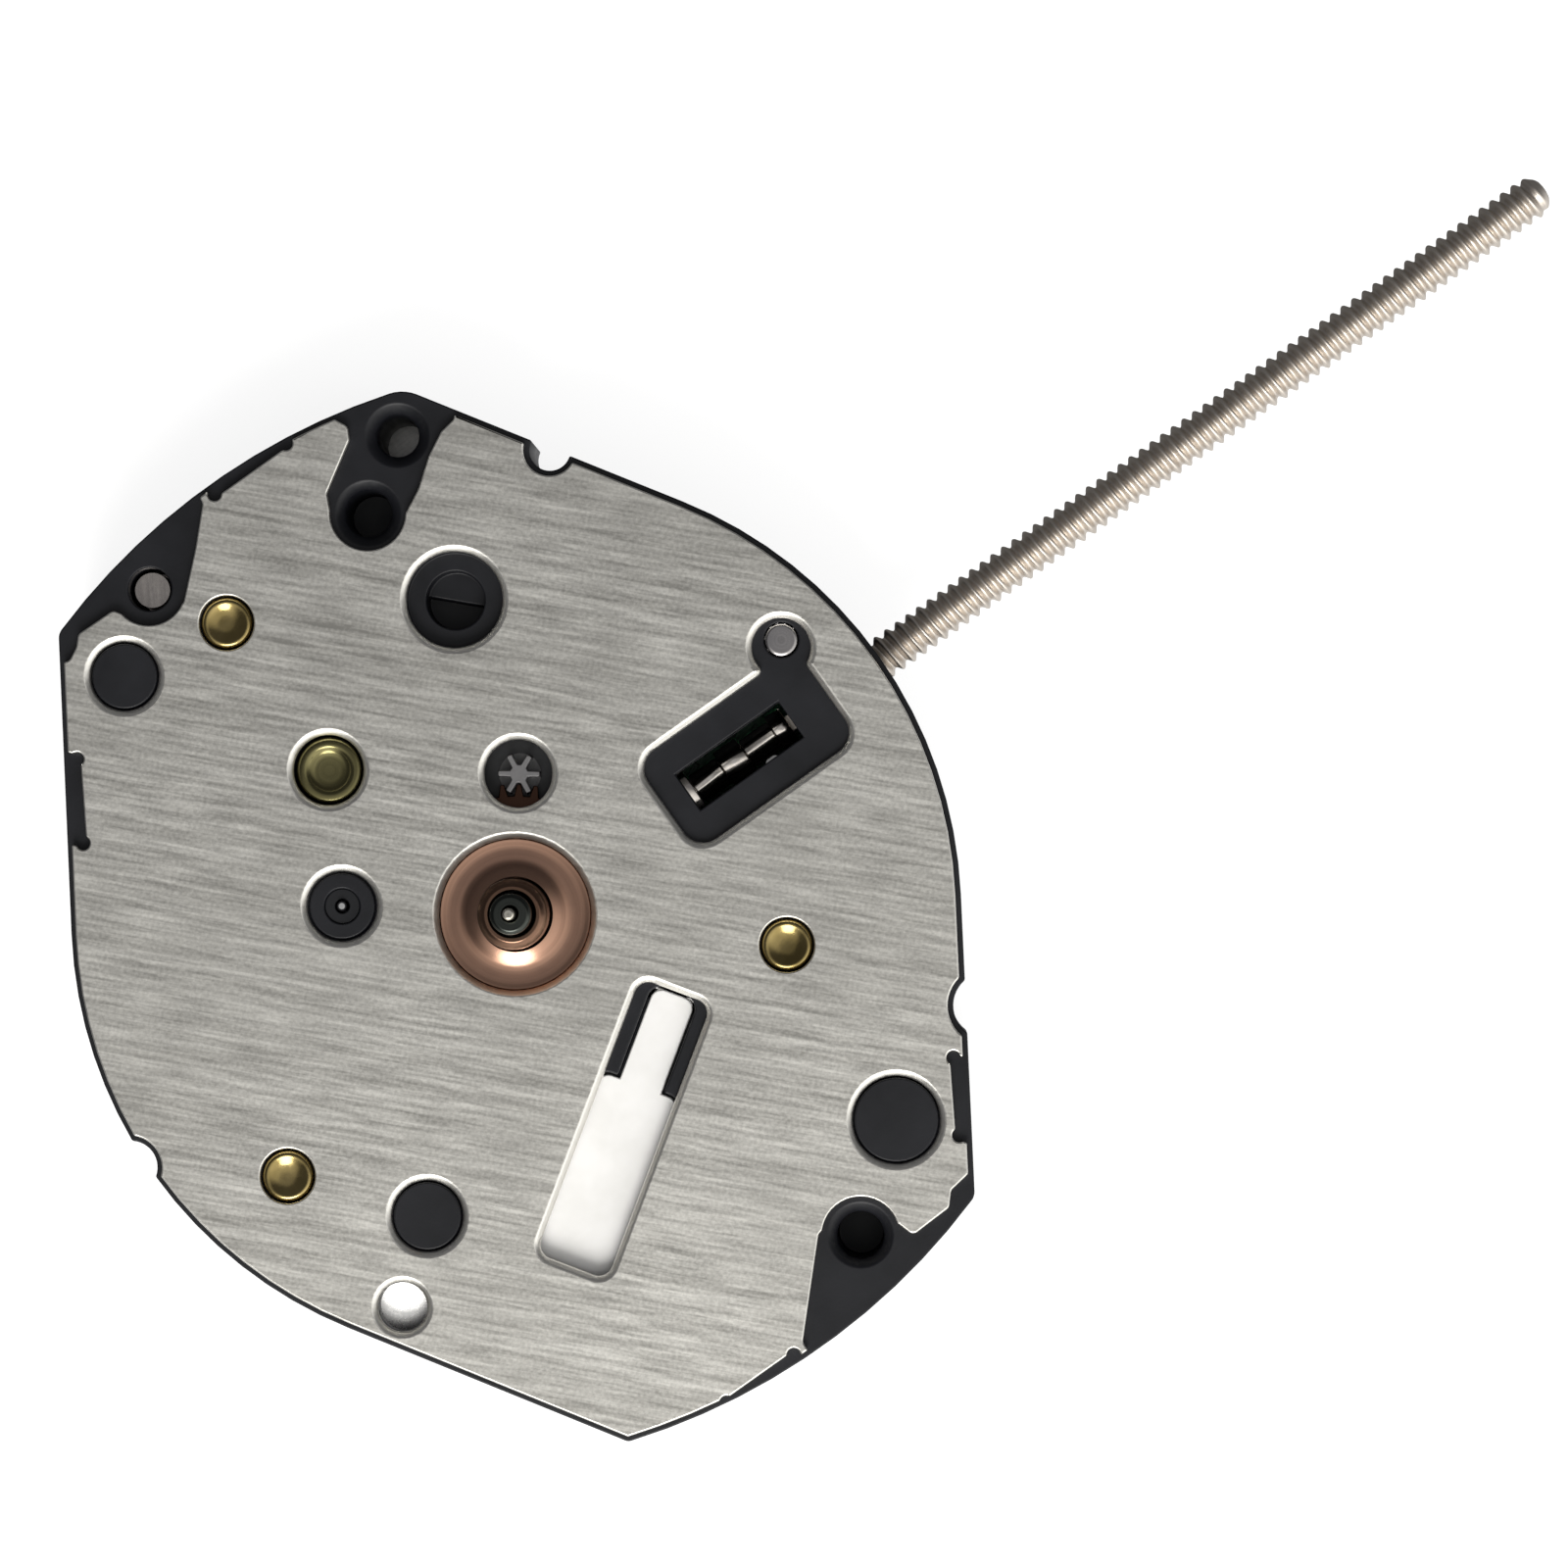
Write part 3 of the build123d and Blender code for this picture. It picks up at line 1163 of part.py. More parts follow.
# Stator with the two notches of its rotor hole
with BuildPart() as stator:
    with BuildSketch(Plane.XY.offset(stator_bottom)):
        add(stator_face())
        with Locations(*posts):
            Circle(post_radius, mode=Mode.SUBTRACT)
        with Locations(rotor_axis):
            Circle(stator_hole_radius, mode=Mode.SUBTRACT)
        with Locations(
            polar(rotor_axis, stator_hole_radius, coil_angle + 45),
            polar(rotor_axis, stator_hole_radius, coil_angle - 135),
        ):
            Circle(stator_notch, mode=Mode.SUBTRACT)
    extrude(amount=stator_thickness)
stator.part.label = "stator"

# Coil core with a foot on each post
with BuildPart() as coil_core:
    with BuildSketch(Plane.XY.offset(core_top - core_thickness)):
        add(core_face())
        with Locations(*posts):
            Circle(post_radius, mode=Mode.SUBTRACT)
    extrude(amount=core_thickness)
    with BuildSketch(Plane.XY.offset(core_top)):
        with Locations(place(coil_hole_share)):
            Circle(core_pin_radius)
    extrude(amount=core_pin_top - core_top)
coil_core.part.label = "coil_core"

# Coil bobbin: a sleeve round the core with an end flange each side
coil_level = core_top - core_thickness / 2
coil_plane = Plane(
    origin=(coil_centre[0], coil_centre[1], coil_level),
    x_dir=(coil_side[0], coil_side[1], 0),
    z_dir=(coil_way[0], coil_way[1], 0),
)
with BuildPart() as coil_bobbin:
    with BuildSketch(coil_plane.offset(-coil_length / 2)):
        Circle(coil_radius)
    extrude(amount=coil_flange_thickness)
    with BuildSketch(coil_plane.offset(coil_length / 2)):
        Circle(coil_radius)
    extrude(amount=-coil_flange_thickness)
    with BuildSketch(coil_plane.offset(-coil_length / 2)):
        Rectangle(2 * core_half_width + 2 * sleeve_wall, core_thickness + 2 * sleeve_wall)
    extrude(amount=coil_length)
    with BuildSketch(coil_plane.offset(-coil_length / 2)):
        Rectangle(2 * core_half_width, core_thickness)
    extrude(amount=coil_length, mode=Mode.SUBTRACT)
coil_bobbin.part.label = "coil_bobbin"

# Coil winding between the flanges
winding_length = coil_length - 2 * coil_flange_thickness
with BuildPart() as coil_winding:
    with BuildSketch(coil_plane.offset(-winding_length / 2)):
        Circle(coil_radius - coil_wire_depth)
        Rectangle(
            2 * core_half_width + 2 * sleeve_wall,
            core_thickness + 2 * sleeve_wall,
            mode=Mode.SUBTRACT,
        )
    extrude(amount=winding_length)
coil_winding.part.label = "coil_winding"

# Terminal blocks of the coil, clamped on the stator at the two posts
with BuildPart() as coil_terminals:
    with BuildSketch(Plane.XY.offset(back_face)):
        with Locations(*posts[:2]):
            Circle(core_pad_radius)
            Circle(post_radius, mode=Mode.SUBTRACT)
    extrude(amount=stator_bottom - back_face)
coil_terminals.part.label = "coil_terminals"

# Bridge that carries the lower pivots of the train
with BuildPart() as train_bridge:
    with BuildSketch(Plane.XY.offset(back_face)):
        add(bridge_face())
        with Locations((0, 0), third_axis, fifth_axis, rotor_axis):
            Circle(pivot_radius + running_gap, mode=Mode.SUBTRACT)
        with Locations(*bridge_screws_at):
            Circle(bridge_screw_radius, mode=Mode.SUBTRACT)
    extrude(amount=bridge_thickness)
    with BuildSketch(Plane.XY.offset(back_face)):
        with Locations(*bridge_screws_at):
            Circle(bridge_screw_head_radius)
    extrude(amount=bridge_screw_head_height, mode=Mode.SUBTRACT)
train_bridge.part.label = "train_bridge"


# Slotted screws that stand head down at a level
def slotted_screws(places, level, head_radius, head_height, shank_radius, shank_length):
    with BuildPart() as screws:
        with BuildSketch(Plane.XY.offset(level)):
            with Locations(*places):
                Circle(head_radius)
        extrude(amount=head_height)
        with BuildSketch(Plane.XY.offset(level)):
            with Locations(*places):
                Circle(shank_radius)
        extrude(amount=head_height + shank_length)
        with BuildSketch(Plane.XY.offset(level)):
            with Locations(*places):
                Rectangle(2 * head_radius, screw_slot_width)
        extrude(amount=screw_slot_depth, mode=Mode.SUBTRACT)
    return screws.part


# Screws of the train bridge
with BuildPart() as bridge_screws:
    add(slotted_screws(
        bridge_screws_at, back_face, bridge_screw_head_radius, bridge_screw_head_height,
        bridge_screw_radius, bridge_screw_depth - wheel_gap,
    ))
bridge_screws.part.label = "bridge_screws"

# Circuit board
with BuildPart() as circuit_board:
    with BuildSketch(Plane.XY.offset(insulator_top)):
        add(circuit_face(board_inset, battery_tower + pocket_gap))
        add(back_windows(), mode=Mode.SUBTRACT)
        with Locations(*posts):
            Circle(post_radius, mode=Mode.SUBTRACT)
    extrude(amount=board_thickness)
circuit_board.part.label = "circuit_board"

# Chip on the board
with BuildPart() as chip:
    with BuildSketch(Plane.XY.offset(back_face)):
        with Locations(chip_centre):
            Rectangle(chip_size, chip_size)
    extrude(amount=chip_height)
    chamfer(chip.edges().group_by(Axis.Z)[-1], length=rim_chamfer)
chip.part.label = "chip"

# Quartz crystal can with its two leads
crystal_way = (cos(radians(crystal_angle)), sin(radians(crystal_angle)))
crystal_plane = Plane(
    origin=(crystal_centre[0], crystal_centre[1], crystal_level),
    x_dir=(-crystal_way[1], crystal_way[0], 0),
    z_dir=(crystal_way[0], crystal_way[1], 0),
)
with BuildPart() as quartz_crystal:
    with BuildSketch(crystal_plane.offset(-crystal_length / 2)):
        Circle(crystal_radius)
    extrude(amount=crystal_length)
    fillet(quartz_crystal.edges().sort_by(Axis.Y)[-1], radius=crystal_radius / 3)
    with BuildSketch(crystal_plane.offset(-crystal_length / 2)):
        with Locations((crystal_radius / 3, 0), (-crystal_radius / 3, 0)):
            Circle(lead_radius)
    extrude(amount=-lead_length / 2)
quartz_crystal.part.label = "quartz_crystal"

# Insulating sheet
with BuildPart() as insulator:
    with BuildSketch(Plane.XY.offset(cover_top)):
        add(circuit_face(board_inset, battery_tower + pocket_gap))
        add(back_windows(), mode=Mode.SUBTRACT)
        with Locations(*posts):
            Circle(post_radius, mode=Mode.SUBTRACT)
    extrude(amount=insulator_thickness)
insulator.part.label = "insulator"

# Circuit cover
with BuildPart() as circuit_cover:
    with BuildSketch(Plane.XY.offset(cover_bottom)):
        add(notched_outline(cover_inset))
        with Locations(battery_axis):
            Circle(battery_radius + 2 * pocket_gap, mode=Mode.SUBTRACT)
        with Locations(slanted(polar(battery_axis, side_radius / 2, battery_angle), battery_angle)):
            Rectangle(side_radius, 2 * battery_radius + 4 * pocket_gap, mode=Mode.SUBTRACT)
        add(back_windows(), mode=Mode.SUBTRACT)
        with Locations(*posts):
            Circle(post_bore_radius, mode=Mode.SUBTRACT)
    extrude(amount=cover_thickness)
circuit_cover.part.label = "circuit_cover"

# Screws of the circuit cover
with BuildPart() as cover_screws:
    add(slotted_screws(
        posts, back_level, cover_screw_head_radius, cover_bottom - back_level,
        post_bore_radius, movement_height / 3,
    ))
cover_screws.part.label = "cover_screws"

# Battery can
battery_step = battery_top - battery_cap_depth
with BuildPart() as battery_can:
    with BuildSketch(Plane.XY.offset(back_level)):
        with Locations(battery_axis):
            Circle(battery_radius)
    extrude(amount=battery_step - back_level)
    chamfer(battery_can.edges().group_by(Axis.Z)[0], length=rim_chamfer)
battery_can.part.label = "battery_can"

# Battery cap
with BuildPart() as battery_cap:
    with BuildSketch(Plane.XY.offset(battery_step)):
        with Locations(battery_axis):
            Circle(battery_cap_radius)
    extrude(amount=battery_cap_depth)
    chamfer(battery_cap.edges().group_by(Axis.Z)[-1], length=rim_chamfer)
battery_cap.part.label = "battery_cap"

# Seal ring round the cap
with BuildPart() as battery_seal:
    with BuildSketch(Plane.XY.offset(battery_step)):
        with Locations(battery_axis):
            Circle(battery_cap_radius + battery_seal_width)
            Circle(battery_cap_radius, mode=Mode.SUBTRACT)
    extrude(amount=battery_cap_depth / 2)
battery_seal.part.label = "battery_seal"

# Contact strip of the battery cap: a flat strip, a foot on the cap and a leg to the board
with BuildPart() as negative_contact:
    with BuildSketch(Plane.XY.offset(strip_top - strip_thickness)):
        add(slot_face(
            slot_length - 2 * pocket_gap, strip_width - 2 * pocket_gap, slot_corner - pocket_gap
        ))
        add(slot_face(
            strip_wide_length + strip_overlap - 2 * pocket_gap,
            slot_width + strip_overlap - 2 * pocket_gap,
            slot_corner - pocket_gap, (strip_wide_length - slot_length) / 2,
        ))
    extrude(amount=strip_thickness)
    with BuildSketch(Plane.XY.offset(battery_top)):
        add(slot_face(
            strip_wide_length / 3, strip_width - 4 * pocket_gap,
            slot_corner, (strip_wide_length / 2 - slot_length) / 2,
        ))
    extrude(amount=strip_top - battery_top)
    with BuildSketch(Plane.XY.offset(back_face)):
        with Locations(slanted(strip_leg_place, slot_angle)):
            Rectangle(strip_thickness, strip_width - 4 * pocket_gap)
    extrude(amount=strip_top - strip_thickness / 2 - back_face)
negative_contact.part.label = "negative_contact"

# Contact of the battery can: a tab under the left hole, and a leg down beside the can
with BuildPart() as positive_contact:
    with BuildSketch(Plane.XY.offset(positive_tab_top - positive_tab_thickness)):
        with Locations(slanted(polar(
            battery_axis, battery_radius + positive_tab_length / 2, tab_way
        ), tab_way)):
            Rectangle(positive_tab_length, positive_tab_width)
    extrude(amount=positive_tab_thickness)
    with BuildSketch(Plane.XY.offset(back_face)):
        with Locations(slanted(polar(
            battery_axis, battery_radius + positive_tab_thickness / 2, tab_way
        ), tab_way)):
            Rectangle(positive_tab_thickness, positive_tab_width)
    extrude(amount=positive_tab_top - back_face)
    with BuildSketch(Plane.XY.offset(back_level)):
        with Locations(battery_axis):
            Circle(battery_radius)
    extrude(amount=battery_height, mode=Mode.SUBTRACT)
positive_contact.part.label = "positive_contact"

# Setting stem: pilot, square, groove, journal and long threaded length with a domed tip
with BuildPart() as stem:
    with BuildSketch(Plane.YZ.offset(stem_inner_end)):
        with Locations((0, stem_level)):
            Circle(stem_pilot_radius)
    extrude(amount=stem_pilot_end - stem_inner_end)
    with BuildSketch(Plane.YZ.offset(stem_pilot_end)):
        with Locations((0, stem_level)):
            Rectangle(stem_square, stem_square)
    extrude(amount=stem_square_end - stem_pilot_end)
    with BuildSketch(Plane.XZ):
        with BuildLine():
            Polyline(
                (stem_square_end, stem_level),
                (stem_square_end, stem_level + stem_radius),
                (stem_groove_start, stem_level + stem_radius),
                (stem_groove_start, stem_level + stem_groove_radius),
                (stem_groove_end, stem_level + stem_groove_radius),
                (stem_groove_end, stem_level + stem_radius),
                (stem_journal_end, stem_level + stem_radius),
                (stem_thread_start, stem_level + stem_thread_radius),
                (stem_outer_end - stem_tip_dome, stem_level + stem_thread_radius),
                (stem_outer_end, stem_level + stem_thread_radius - stem_tip_dome),
                (stem_outer_end, stem_level),
                close=True,
            )
        make_face()
    revolve(axis=Axis((0, 0, stem_level), (1, 0, 0)))
stem.part.label = "stem"

# Clutch wheel: crown teeth, flange, neck and two collars on a square bore
crown_pitch = 360 / clutch_crown_teeth
with BuildPart() as clutch_wheel:
    with BuildSketch(Plane.YZ.offset(clutch_inner_end + clutch_crown_depth)):
        with Locations((0, stem_level)):
            Circle(clutch_crown_radius)
    extrude(amount=clutch_flange_end - clutch_inner_end - clutch_crown_depth)
    with BuildSketch(Plane.YZ.offset(clutch_inner_end)):
        for tooth in range(clutch_crown_teeth):
            side = tooth_root_share * crown_pitch * cos(radians(45))
            middle = (tooth + tooth_root_share + tooth_tip_share) * crown_pitch
            with Locations((0, stem_level)):
                Polygon(
                    polar((0, 0), clutch_crown_bore, middle - side),
                    polar((0, 0), clutch_crown_radius, middle - side),
                    polar((0, 0), clutch_crown_radius, middle + side),
                    polar((0, 0), clutch_crown_bore, middle + side),
                    align=None,
                )
    extrude(amount=clutch_crown_depth)
    with BuildSketch(Plane.YZ.offset(clutch_flange_end)):
        with Locations((0, stem_level)):
            Circle(clutch_neck_radius)
    extrude(amount=clutch_outer_end - clutch_flange_end)
    with BuildSketch(Plane.YZ.offset(clutch_first_collar_start)):
        with Locations((0, stem_level)):
            Circle(clutch_collar_radius)
    extrude(amount=clutch_groove_start - clutch_first_collar_start)
    with BuildSketch(Plane.YZ.offset(clutch_groove_end)):
        with Locations((0, stem_level)):
            Circle(clutch_collar_radius)
    extrude(amount=clutch_outer_end - clutch_groove_end)
    with BuildSketch(Plane.YZ.offset(clutch_inner_end)):
        with Locations((0, stem_level)):
            Rectangle(stem_square + 2 * clutch_bore_gap, stem_square + 2 * clutch_bore_gap)
    extrude(amount=stem_outer_end, mode=Mode.SUBTRACT)
clutch_wheel.part.label = "clutch_wheel"

# Shoe: a fork that rides in the stem's groove, with a pin for the setting lever
with BuildPart() as stem_shoe:
    with BuildSketch(Plane.XY.offset(lever_top + arm_gap / 2)):
        with Locations(groove_middle):
            Rectangle(shoe_length, 2 * shoe_half_width)
    extrude(amount=shoe_top - lever_top - arm_gap / 2)
    with BuildSketch(Plane.YZ.offset(stem_square_end)):
        with Locations((0, stem_level)):
            Circle(stem_groove_radius + running_gap)
        with Locations((0, stem_level + overrun)):
            Rectangle(2 * (stem_groove_radius + running_gap), 2 * overrun)
    extrude(amount=stem_travel * 2, mode=Mode.SUBTRACT)
    with BuildSketch(Plane.XY.offset(back_face + wheel_gap)):
        with Locations(groove_middle):
            Circle(shoe_pin_radius)
    extrude(amount=lever_top + arm_gap / 2 - back_face - wheel_gap)
stem_shoe.part.label = "stem_shoe"

# Setting lever: hub, tail and a tip slotted for the shoe's pin
tip_turn = degrees(acos((groove_middle[0] - lever_axle[0]) / sqrt(
    (groove_middle[0] - lever_axle[0]) ** 2 + (groove_middle[1] - lever_axle[1]) ** 2
)))
with BuildPart() as setting_lever:
    with BuildSketch(Plane.XY.offset(lever_top - lever_thickness)):
        add(arm_face(
            (lever_tail, lever_tail_radius),
            (lever_axle, lever_hub_radius),
            (groove_middle, lever_tip_radius),
        ))
        with Locations(lever_axle):
            Circle(lever_axle_radius + running_gap, mode=Mode.SUBTRACT)
        with Locations(slanted(groove_middle, tip_turn)):
            SlotCenterToCenter(
                lever_slot_play, 2 * (shoe_pin_radius + running_gap), mode=Mode.SUBTRACT
            )
    extrude(amount=lever_thickness)
setting_lever.part.label = "setting_lever"

# Axle of the setting lever, whose head shows in the window
with BuildPart() as setting_lever_axle:
    with BuildSketch(Plane.XY.offset(back_face)):
        with Locations(lever_axle):
            Circle(lever_axle_radius)
    extrude(amount=plate_top - back_face)
    chamfer(setting_lever_axle.edges().group_by(Axis.Z)[-1], length=running_gap)
setting_lever_axle.part.label = "setting_lever_axle"

# Yoke: its tip stands in the groove of the clutch wheel
with BuildPart() as yoke:
    with BuildSketch(Plane.XY.offset(yoke_top - yoke_thickness)):
        add(wrapped_face((yoke_axis, yoke_hub_radius), (yoke_tip, yoke_tip_radius)))
        with Locations(yoke_axis):
            Circle(yoke_pin_radius + running_gap, mode=Mode.SUBTRACT)
    extrude(amount=yoke_thickness)
yoke.part.label = "yoke"

# Pin of the yoke
with BuildPart() as yoke_pin:
    with BuildSketch(Plane.XY.offset(back_face)):
        with Locations(yoke_axis):
            Circle(yoke_pin_radius)
    extrude(amount=pin_foot - back_face)
yoke_pin.part.label = "yoke_pin"

# Reset lever: its pad stops the seconds wheel
with BuildPart() as reset_lever:
    with BuildSketch(Plane.XY.offset(reset_top - reset_thickness)):
        add(wrapped_face((reset_axis, reset_hub_radius), (reset_pad, reset_pad_radius)))
        with Locations(reset_axis):
            Circle(reset_pin_radius + running_gap, mode=Mode.SUBTRACT)
    extrude(amount=reset_thickness)
reset_lever.part.label = "reset_lever"

# Pin of the reset lever
with BuildPart() as reset_lever_pin:
    with BuildSketch(Plane.XY.offset(back_face)):
        with Locations(reset_axis):
            Circle(reset_pin_radius)
    extrude(amount=pin_foot - back_face)
reset_lever_pin.part.label = "reset_lever_pin"

# Write each piece
os.makedirs("parts", exist_ok=True)
export_step(main_plate.part, "parts/main_plate.step")
export_step(dial_side_plate.part, "parts/dial_side_plate.step")
export_step(brass_posts.part, "parts/brass_posts.step")
export_step(bridge_insert.part, "parts/bridge_insert.step")
export_step(rotor_bearing.part, "parts/rotor_bearing.step")
export_step(hour_wheel.part, "parts/hour_wheel.step")
export_step(dial_washer.part, "parts/dial_washer.step")
export_step(minute_wheel.part, "parts/minute_wheel.step")
export_step(setting_wheel.part, "parts/setting_wheel.step")
export_step(cannon_pinion.part, "parts/cannon_pinion.step")
export_step(centre_wheel.part, "parts/centre_wheel.step")
export_step(third_wheel.part, "parts/third_wheel.step")
export_step(seconds_wheel.part, "parts/seconds_wheel.step")
export_step(fifth_wheel.part, "parts/fifth_wheel.step")
export_step(rotor_pinion.part, "parts/rotor_pinion.step")
export_step(rotor_magnet.part, "parts/rotor_magnet.step")
export_step(stator.part, "parts/stator.step")
export_step(coil_core.part, "parts/coil_core.step")
export_step(coil_bobbin.part, "parts/coil_bobbin.step")
export_step(coil_winding.part, "parts/coil_winding.step")
export_step(coil_terminals.part, "parts/coil_terminals.step")
export_step(train_bridge.part, "parts/train_bridge.step")
export_step(bridge_screws.part, "parts/bridge_screws.step")
export_step(circuit_board.part, "parts/circuit_board.step")
export_step(chip.part, "parts/chip.step")
export_step(quartz_crystal.part, "parts/quartz_crystal.step")
export_step(insulator.part, "parts/insulator.step")
export_step(circuit_cover.part, "parts/circuit_cover.step")
export_step(cover_screws.part, "parts/cover_screws.step")
export_step(battery_can.part, "parts/battery_can.step")
export_step(battery_cap.part, "parts/battery_cap.step")
export_step(battery_seal.part, "parts/battery_seal.step")
export_step(negative_contact.part, "parts/negative_contact.step")
export_step(positive_contact.part, "parts/positive_contact.step")
export_step(stem.part, "parts/stem.step")
export_step(clutch_wheel.part, "parts/clutch_wheel.step")
export_step(stem_shoe.part, "parts/stem_shoe.step")
export_step(setting_lever.part, "parts/setting_lever.step")
export_step(setting_lever_axle.part, "parts/setting_lever_axle.step")
export_step(yoke.part, "parts/yoke.step")
export_step(yoke_pin.part, "parts/yoke_pin.step")
export_step(reset_lever.part, "parts/reset_lever.step")
export_step(reset_lever_pin.part, "parts/reset_lever_pin.step")
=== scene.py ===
import math

import bmesh
import bpy
from mathutils import Matrix, Vector


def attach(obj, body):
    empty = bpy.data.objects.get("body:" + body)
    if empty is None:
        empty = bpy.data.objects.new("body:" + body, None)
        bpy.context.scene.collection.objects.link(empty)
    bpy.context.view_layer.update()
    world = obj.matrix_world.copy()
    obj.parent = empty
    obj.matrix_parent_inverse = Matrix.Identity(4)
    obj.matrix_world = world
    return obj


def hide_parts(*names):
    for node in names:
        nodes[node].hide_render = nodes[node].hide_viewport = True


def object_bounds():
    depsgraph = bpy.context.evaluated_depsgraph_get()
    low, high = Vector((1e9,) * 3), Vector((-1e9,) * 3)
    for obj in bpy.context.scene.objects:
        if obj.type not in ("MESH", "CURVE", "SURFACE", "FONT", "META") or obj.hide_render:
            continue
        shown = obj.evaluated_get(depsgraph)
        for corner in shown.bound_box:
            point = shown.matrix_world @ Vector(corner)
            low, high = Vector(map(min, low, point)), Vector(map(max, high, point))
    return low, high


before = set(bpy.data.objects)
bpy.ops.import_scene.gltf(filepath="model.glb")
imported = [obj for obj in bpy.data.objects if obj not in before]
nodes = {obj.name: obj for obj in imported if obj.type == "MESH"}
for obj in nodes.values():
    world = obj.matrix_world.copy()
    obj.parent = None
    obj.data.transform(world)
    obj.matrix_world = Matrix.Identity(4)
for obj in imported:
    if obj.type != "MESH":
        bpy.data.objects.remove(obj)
cad_box = [[float(v) for v in corner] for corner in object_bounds()]
MM = 0.001

# Directions of the photograph in the frame
PHOTO_TURN = math.radians(35.3)
PHOTO_RIGHT = Vector((math.cos(PHOTO_TURN), -math.sin(PHOTO_TURN), 0))
PHOTO_UP = Vector((math.sin(PHOTO_TURN), math.cos(PHOTO_TURN), 0))


# Camera: nearly straight above, leaning a little to the photograph's lower right
aim = Vector((5.02, -0.84, 0)) * MM
distance = 0.110
sensor_width = 36.0
picture_width = 26.67
lean = math.radians(1.7)
side = (PHOTO_RIGHT - PHOTO_UP).normalized()
back = (Vector((0, 0, math.cos(lean))) + side * math.sin(lean)).normalized()
right = PHOTO_UP.cross(back).normalized()
up = back.cross(right)
camera_data = bpy.data.cameras.new("camera")
camera_data.sensor_width = sensor_width
camera_data.lens = sensor_width * distance / (picture_width * MM)
camera_data.clip_start = 0.001
camera_data.clip_end = 10.0
camera = bpy.data.objects.new("camera", camera_data)
camera.matrix_world = Matrix((
    (right.x, up.x, back.x, (aim + back * distance).x),
    (right.y, up.y, back.y, (aim + back * distance).y),
    (right.z, up.z, back.z, (aim + back * distance).z),
    (0, 0, 0, 1),
))
bpy.context.scene.collection.objects.link(camera)
bpy.context.scene.camera = camera
bpy.context.scene.view_settings.view_transform = "Standard"


# Node helpers
def tone(r, g, b):
    def linear(c):
        c = c / 255
        return c / 12.92 if c <= 0.04045 else ((c + 0.055) / 1.055) ** 2.4
    return (linear(r), linear(g), linear(b), 1.0)


def add(tree, kind, **values):
    n = tree.nodes.new(kind)
    for key, value in values.items():
        setattr(n, key, value)
    return n


def put(tree, socket, value):
    if isinstance(value, bpy.types.NodeSocket):
        tree.links.new(value, socket)
    else:
        socket.default_value = value


def maths(tree, operation, a, b=0.0, c=None):
    n = add(tree, "ShaderNodeMath", operation=operation)
    put(tree, n.inputs[0], a)
    put(tree, n.inputs[1], b)
    if c is not None:
        put(tree, n.inputs[2], c)
    return n.outputs[0]


def spread(tree, value, low, high, to_low=0.0, to_high=1.0, smooth=False):
    n = add(tree, "ShaderNodeMapRange", interpolation_type="SMOOTHSTEP" if smooth else "LINEAR")
    put(tree, n.inputs["Value"], value)
    put(tree, n.inputs["From Min"], low)
    put(tree, n.inputs["From Max"], high)
    put(tree, n.inputs["To Min"], to_low)
    put(tree, n.inputs["To Max"], to_high)
    return n.outputs["Result"]


def blend(tree, factor, a, b):
    """Two colours mixed by a factor: the colour sockets of a mix node are 6 and 7 in, 2 out"""
    n = add(tree, "ShaderNodeMix", data_type="RGBA")
    put(tree, n.inputs["Factor"], factor)
    put(tree, n.inputs[6], a)
    put(tree, n.inputs[7], b)
    return n.outputs[2]


def noise(tree, vector, scale, detail=4.0, roughness=0.55):
    n = add(tree, "ShaderNodeTexNoise")
    put(tree, n.inputs["Vector"], vector)
    n.inputs["Scale"].default_value = scale
    n.inputs["Detail"].default_value = detail
    n.inputs["Roughness"].default_value = roughness
    return n.outputs["Fac"]


def place(tree):
    return add(tree, "ShaderNodeTexCoord").outputs["Object"]


def stretched(tree, vector, angle, along, across):
    n = add(tree, "ShaderNodeMapping", vector_type="TEXTURE")
    put(tree, n.inputs["Vector"], vector)
    n.inputs["Rotation"].default_value = (0, 0, math.radians(angle))
    n.inputs["Scale"].default_value = (1 / along, 1 / across, 1 / across)
    return n.outputs["Vector"]


def round_place(tree, vector, centre, way=None):
    """(distance from the axis, place along it, 0): turning marks follow it"""
    shift = add(tree, "ShaderNodeVectorMath", operation="SUBTRACT")
    put(tree, shift.inputs[0], vector)
    shift.inputs[1].default_value = Vector(centre) * MM
    axis = Vector(way or (0, 0, 1)).normalized()
    dot = add(tree, "ShaderNodeVectorMath", operation="DOT_PRODUCT")
    put(tree, dot.inputs[0], shift.outputs[0])
    dot.inputs[1].default_value = axis
    cross = add(tree, "ShaderNodeVectorMath", operation="CROSS_PRODUCT")
    put(tree, cross.inputs[0], shift.outputs[0])
    cross.inputs[1].default_value = axis
    length = add(tree, "ShaderNodeVectorMath", operation="LENGTH")
    put(tree, length.inputs[0], cross.outputs[0])
    both = add(tree, "ShaderNodeCombineXYZ")
    put(tree, both.inputs[0], length.outputs["Value"])
    put(tree, both.inputs[1], dot.outputs["Value"])
    return both.outputs[0], length.outputs["Value"], dot.outputs["Value"]


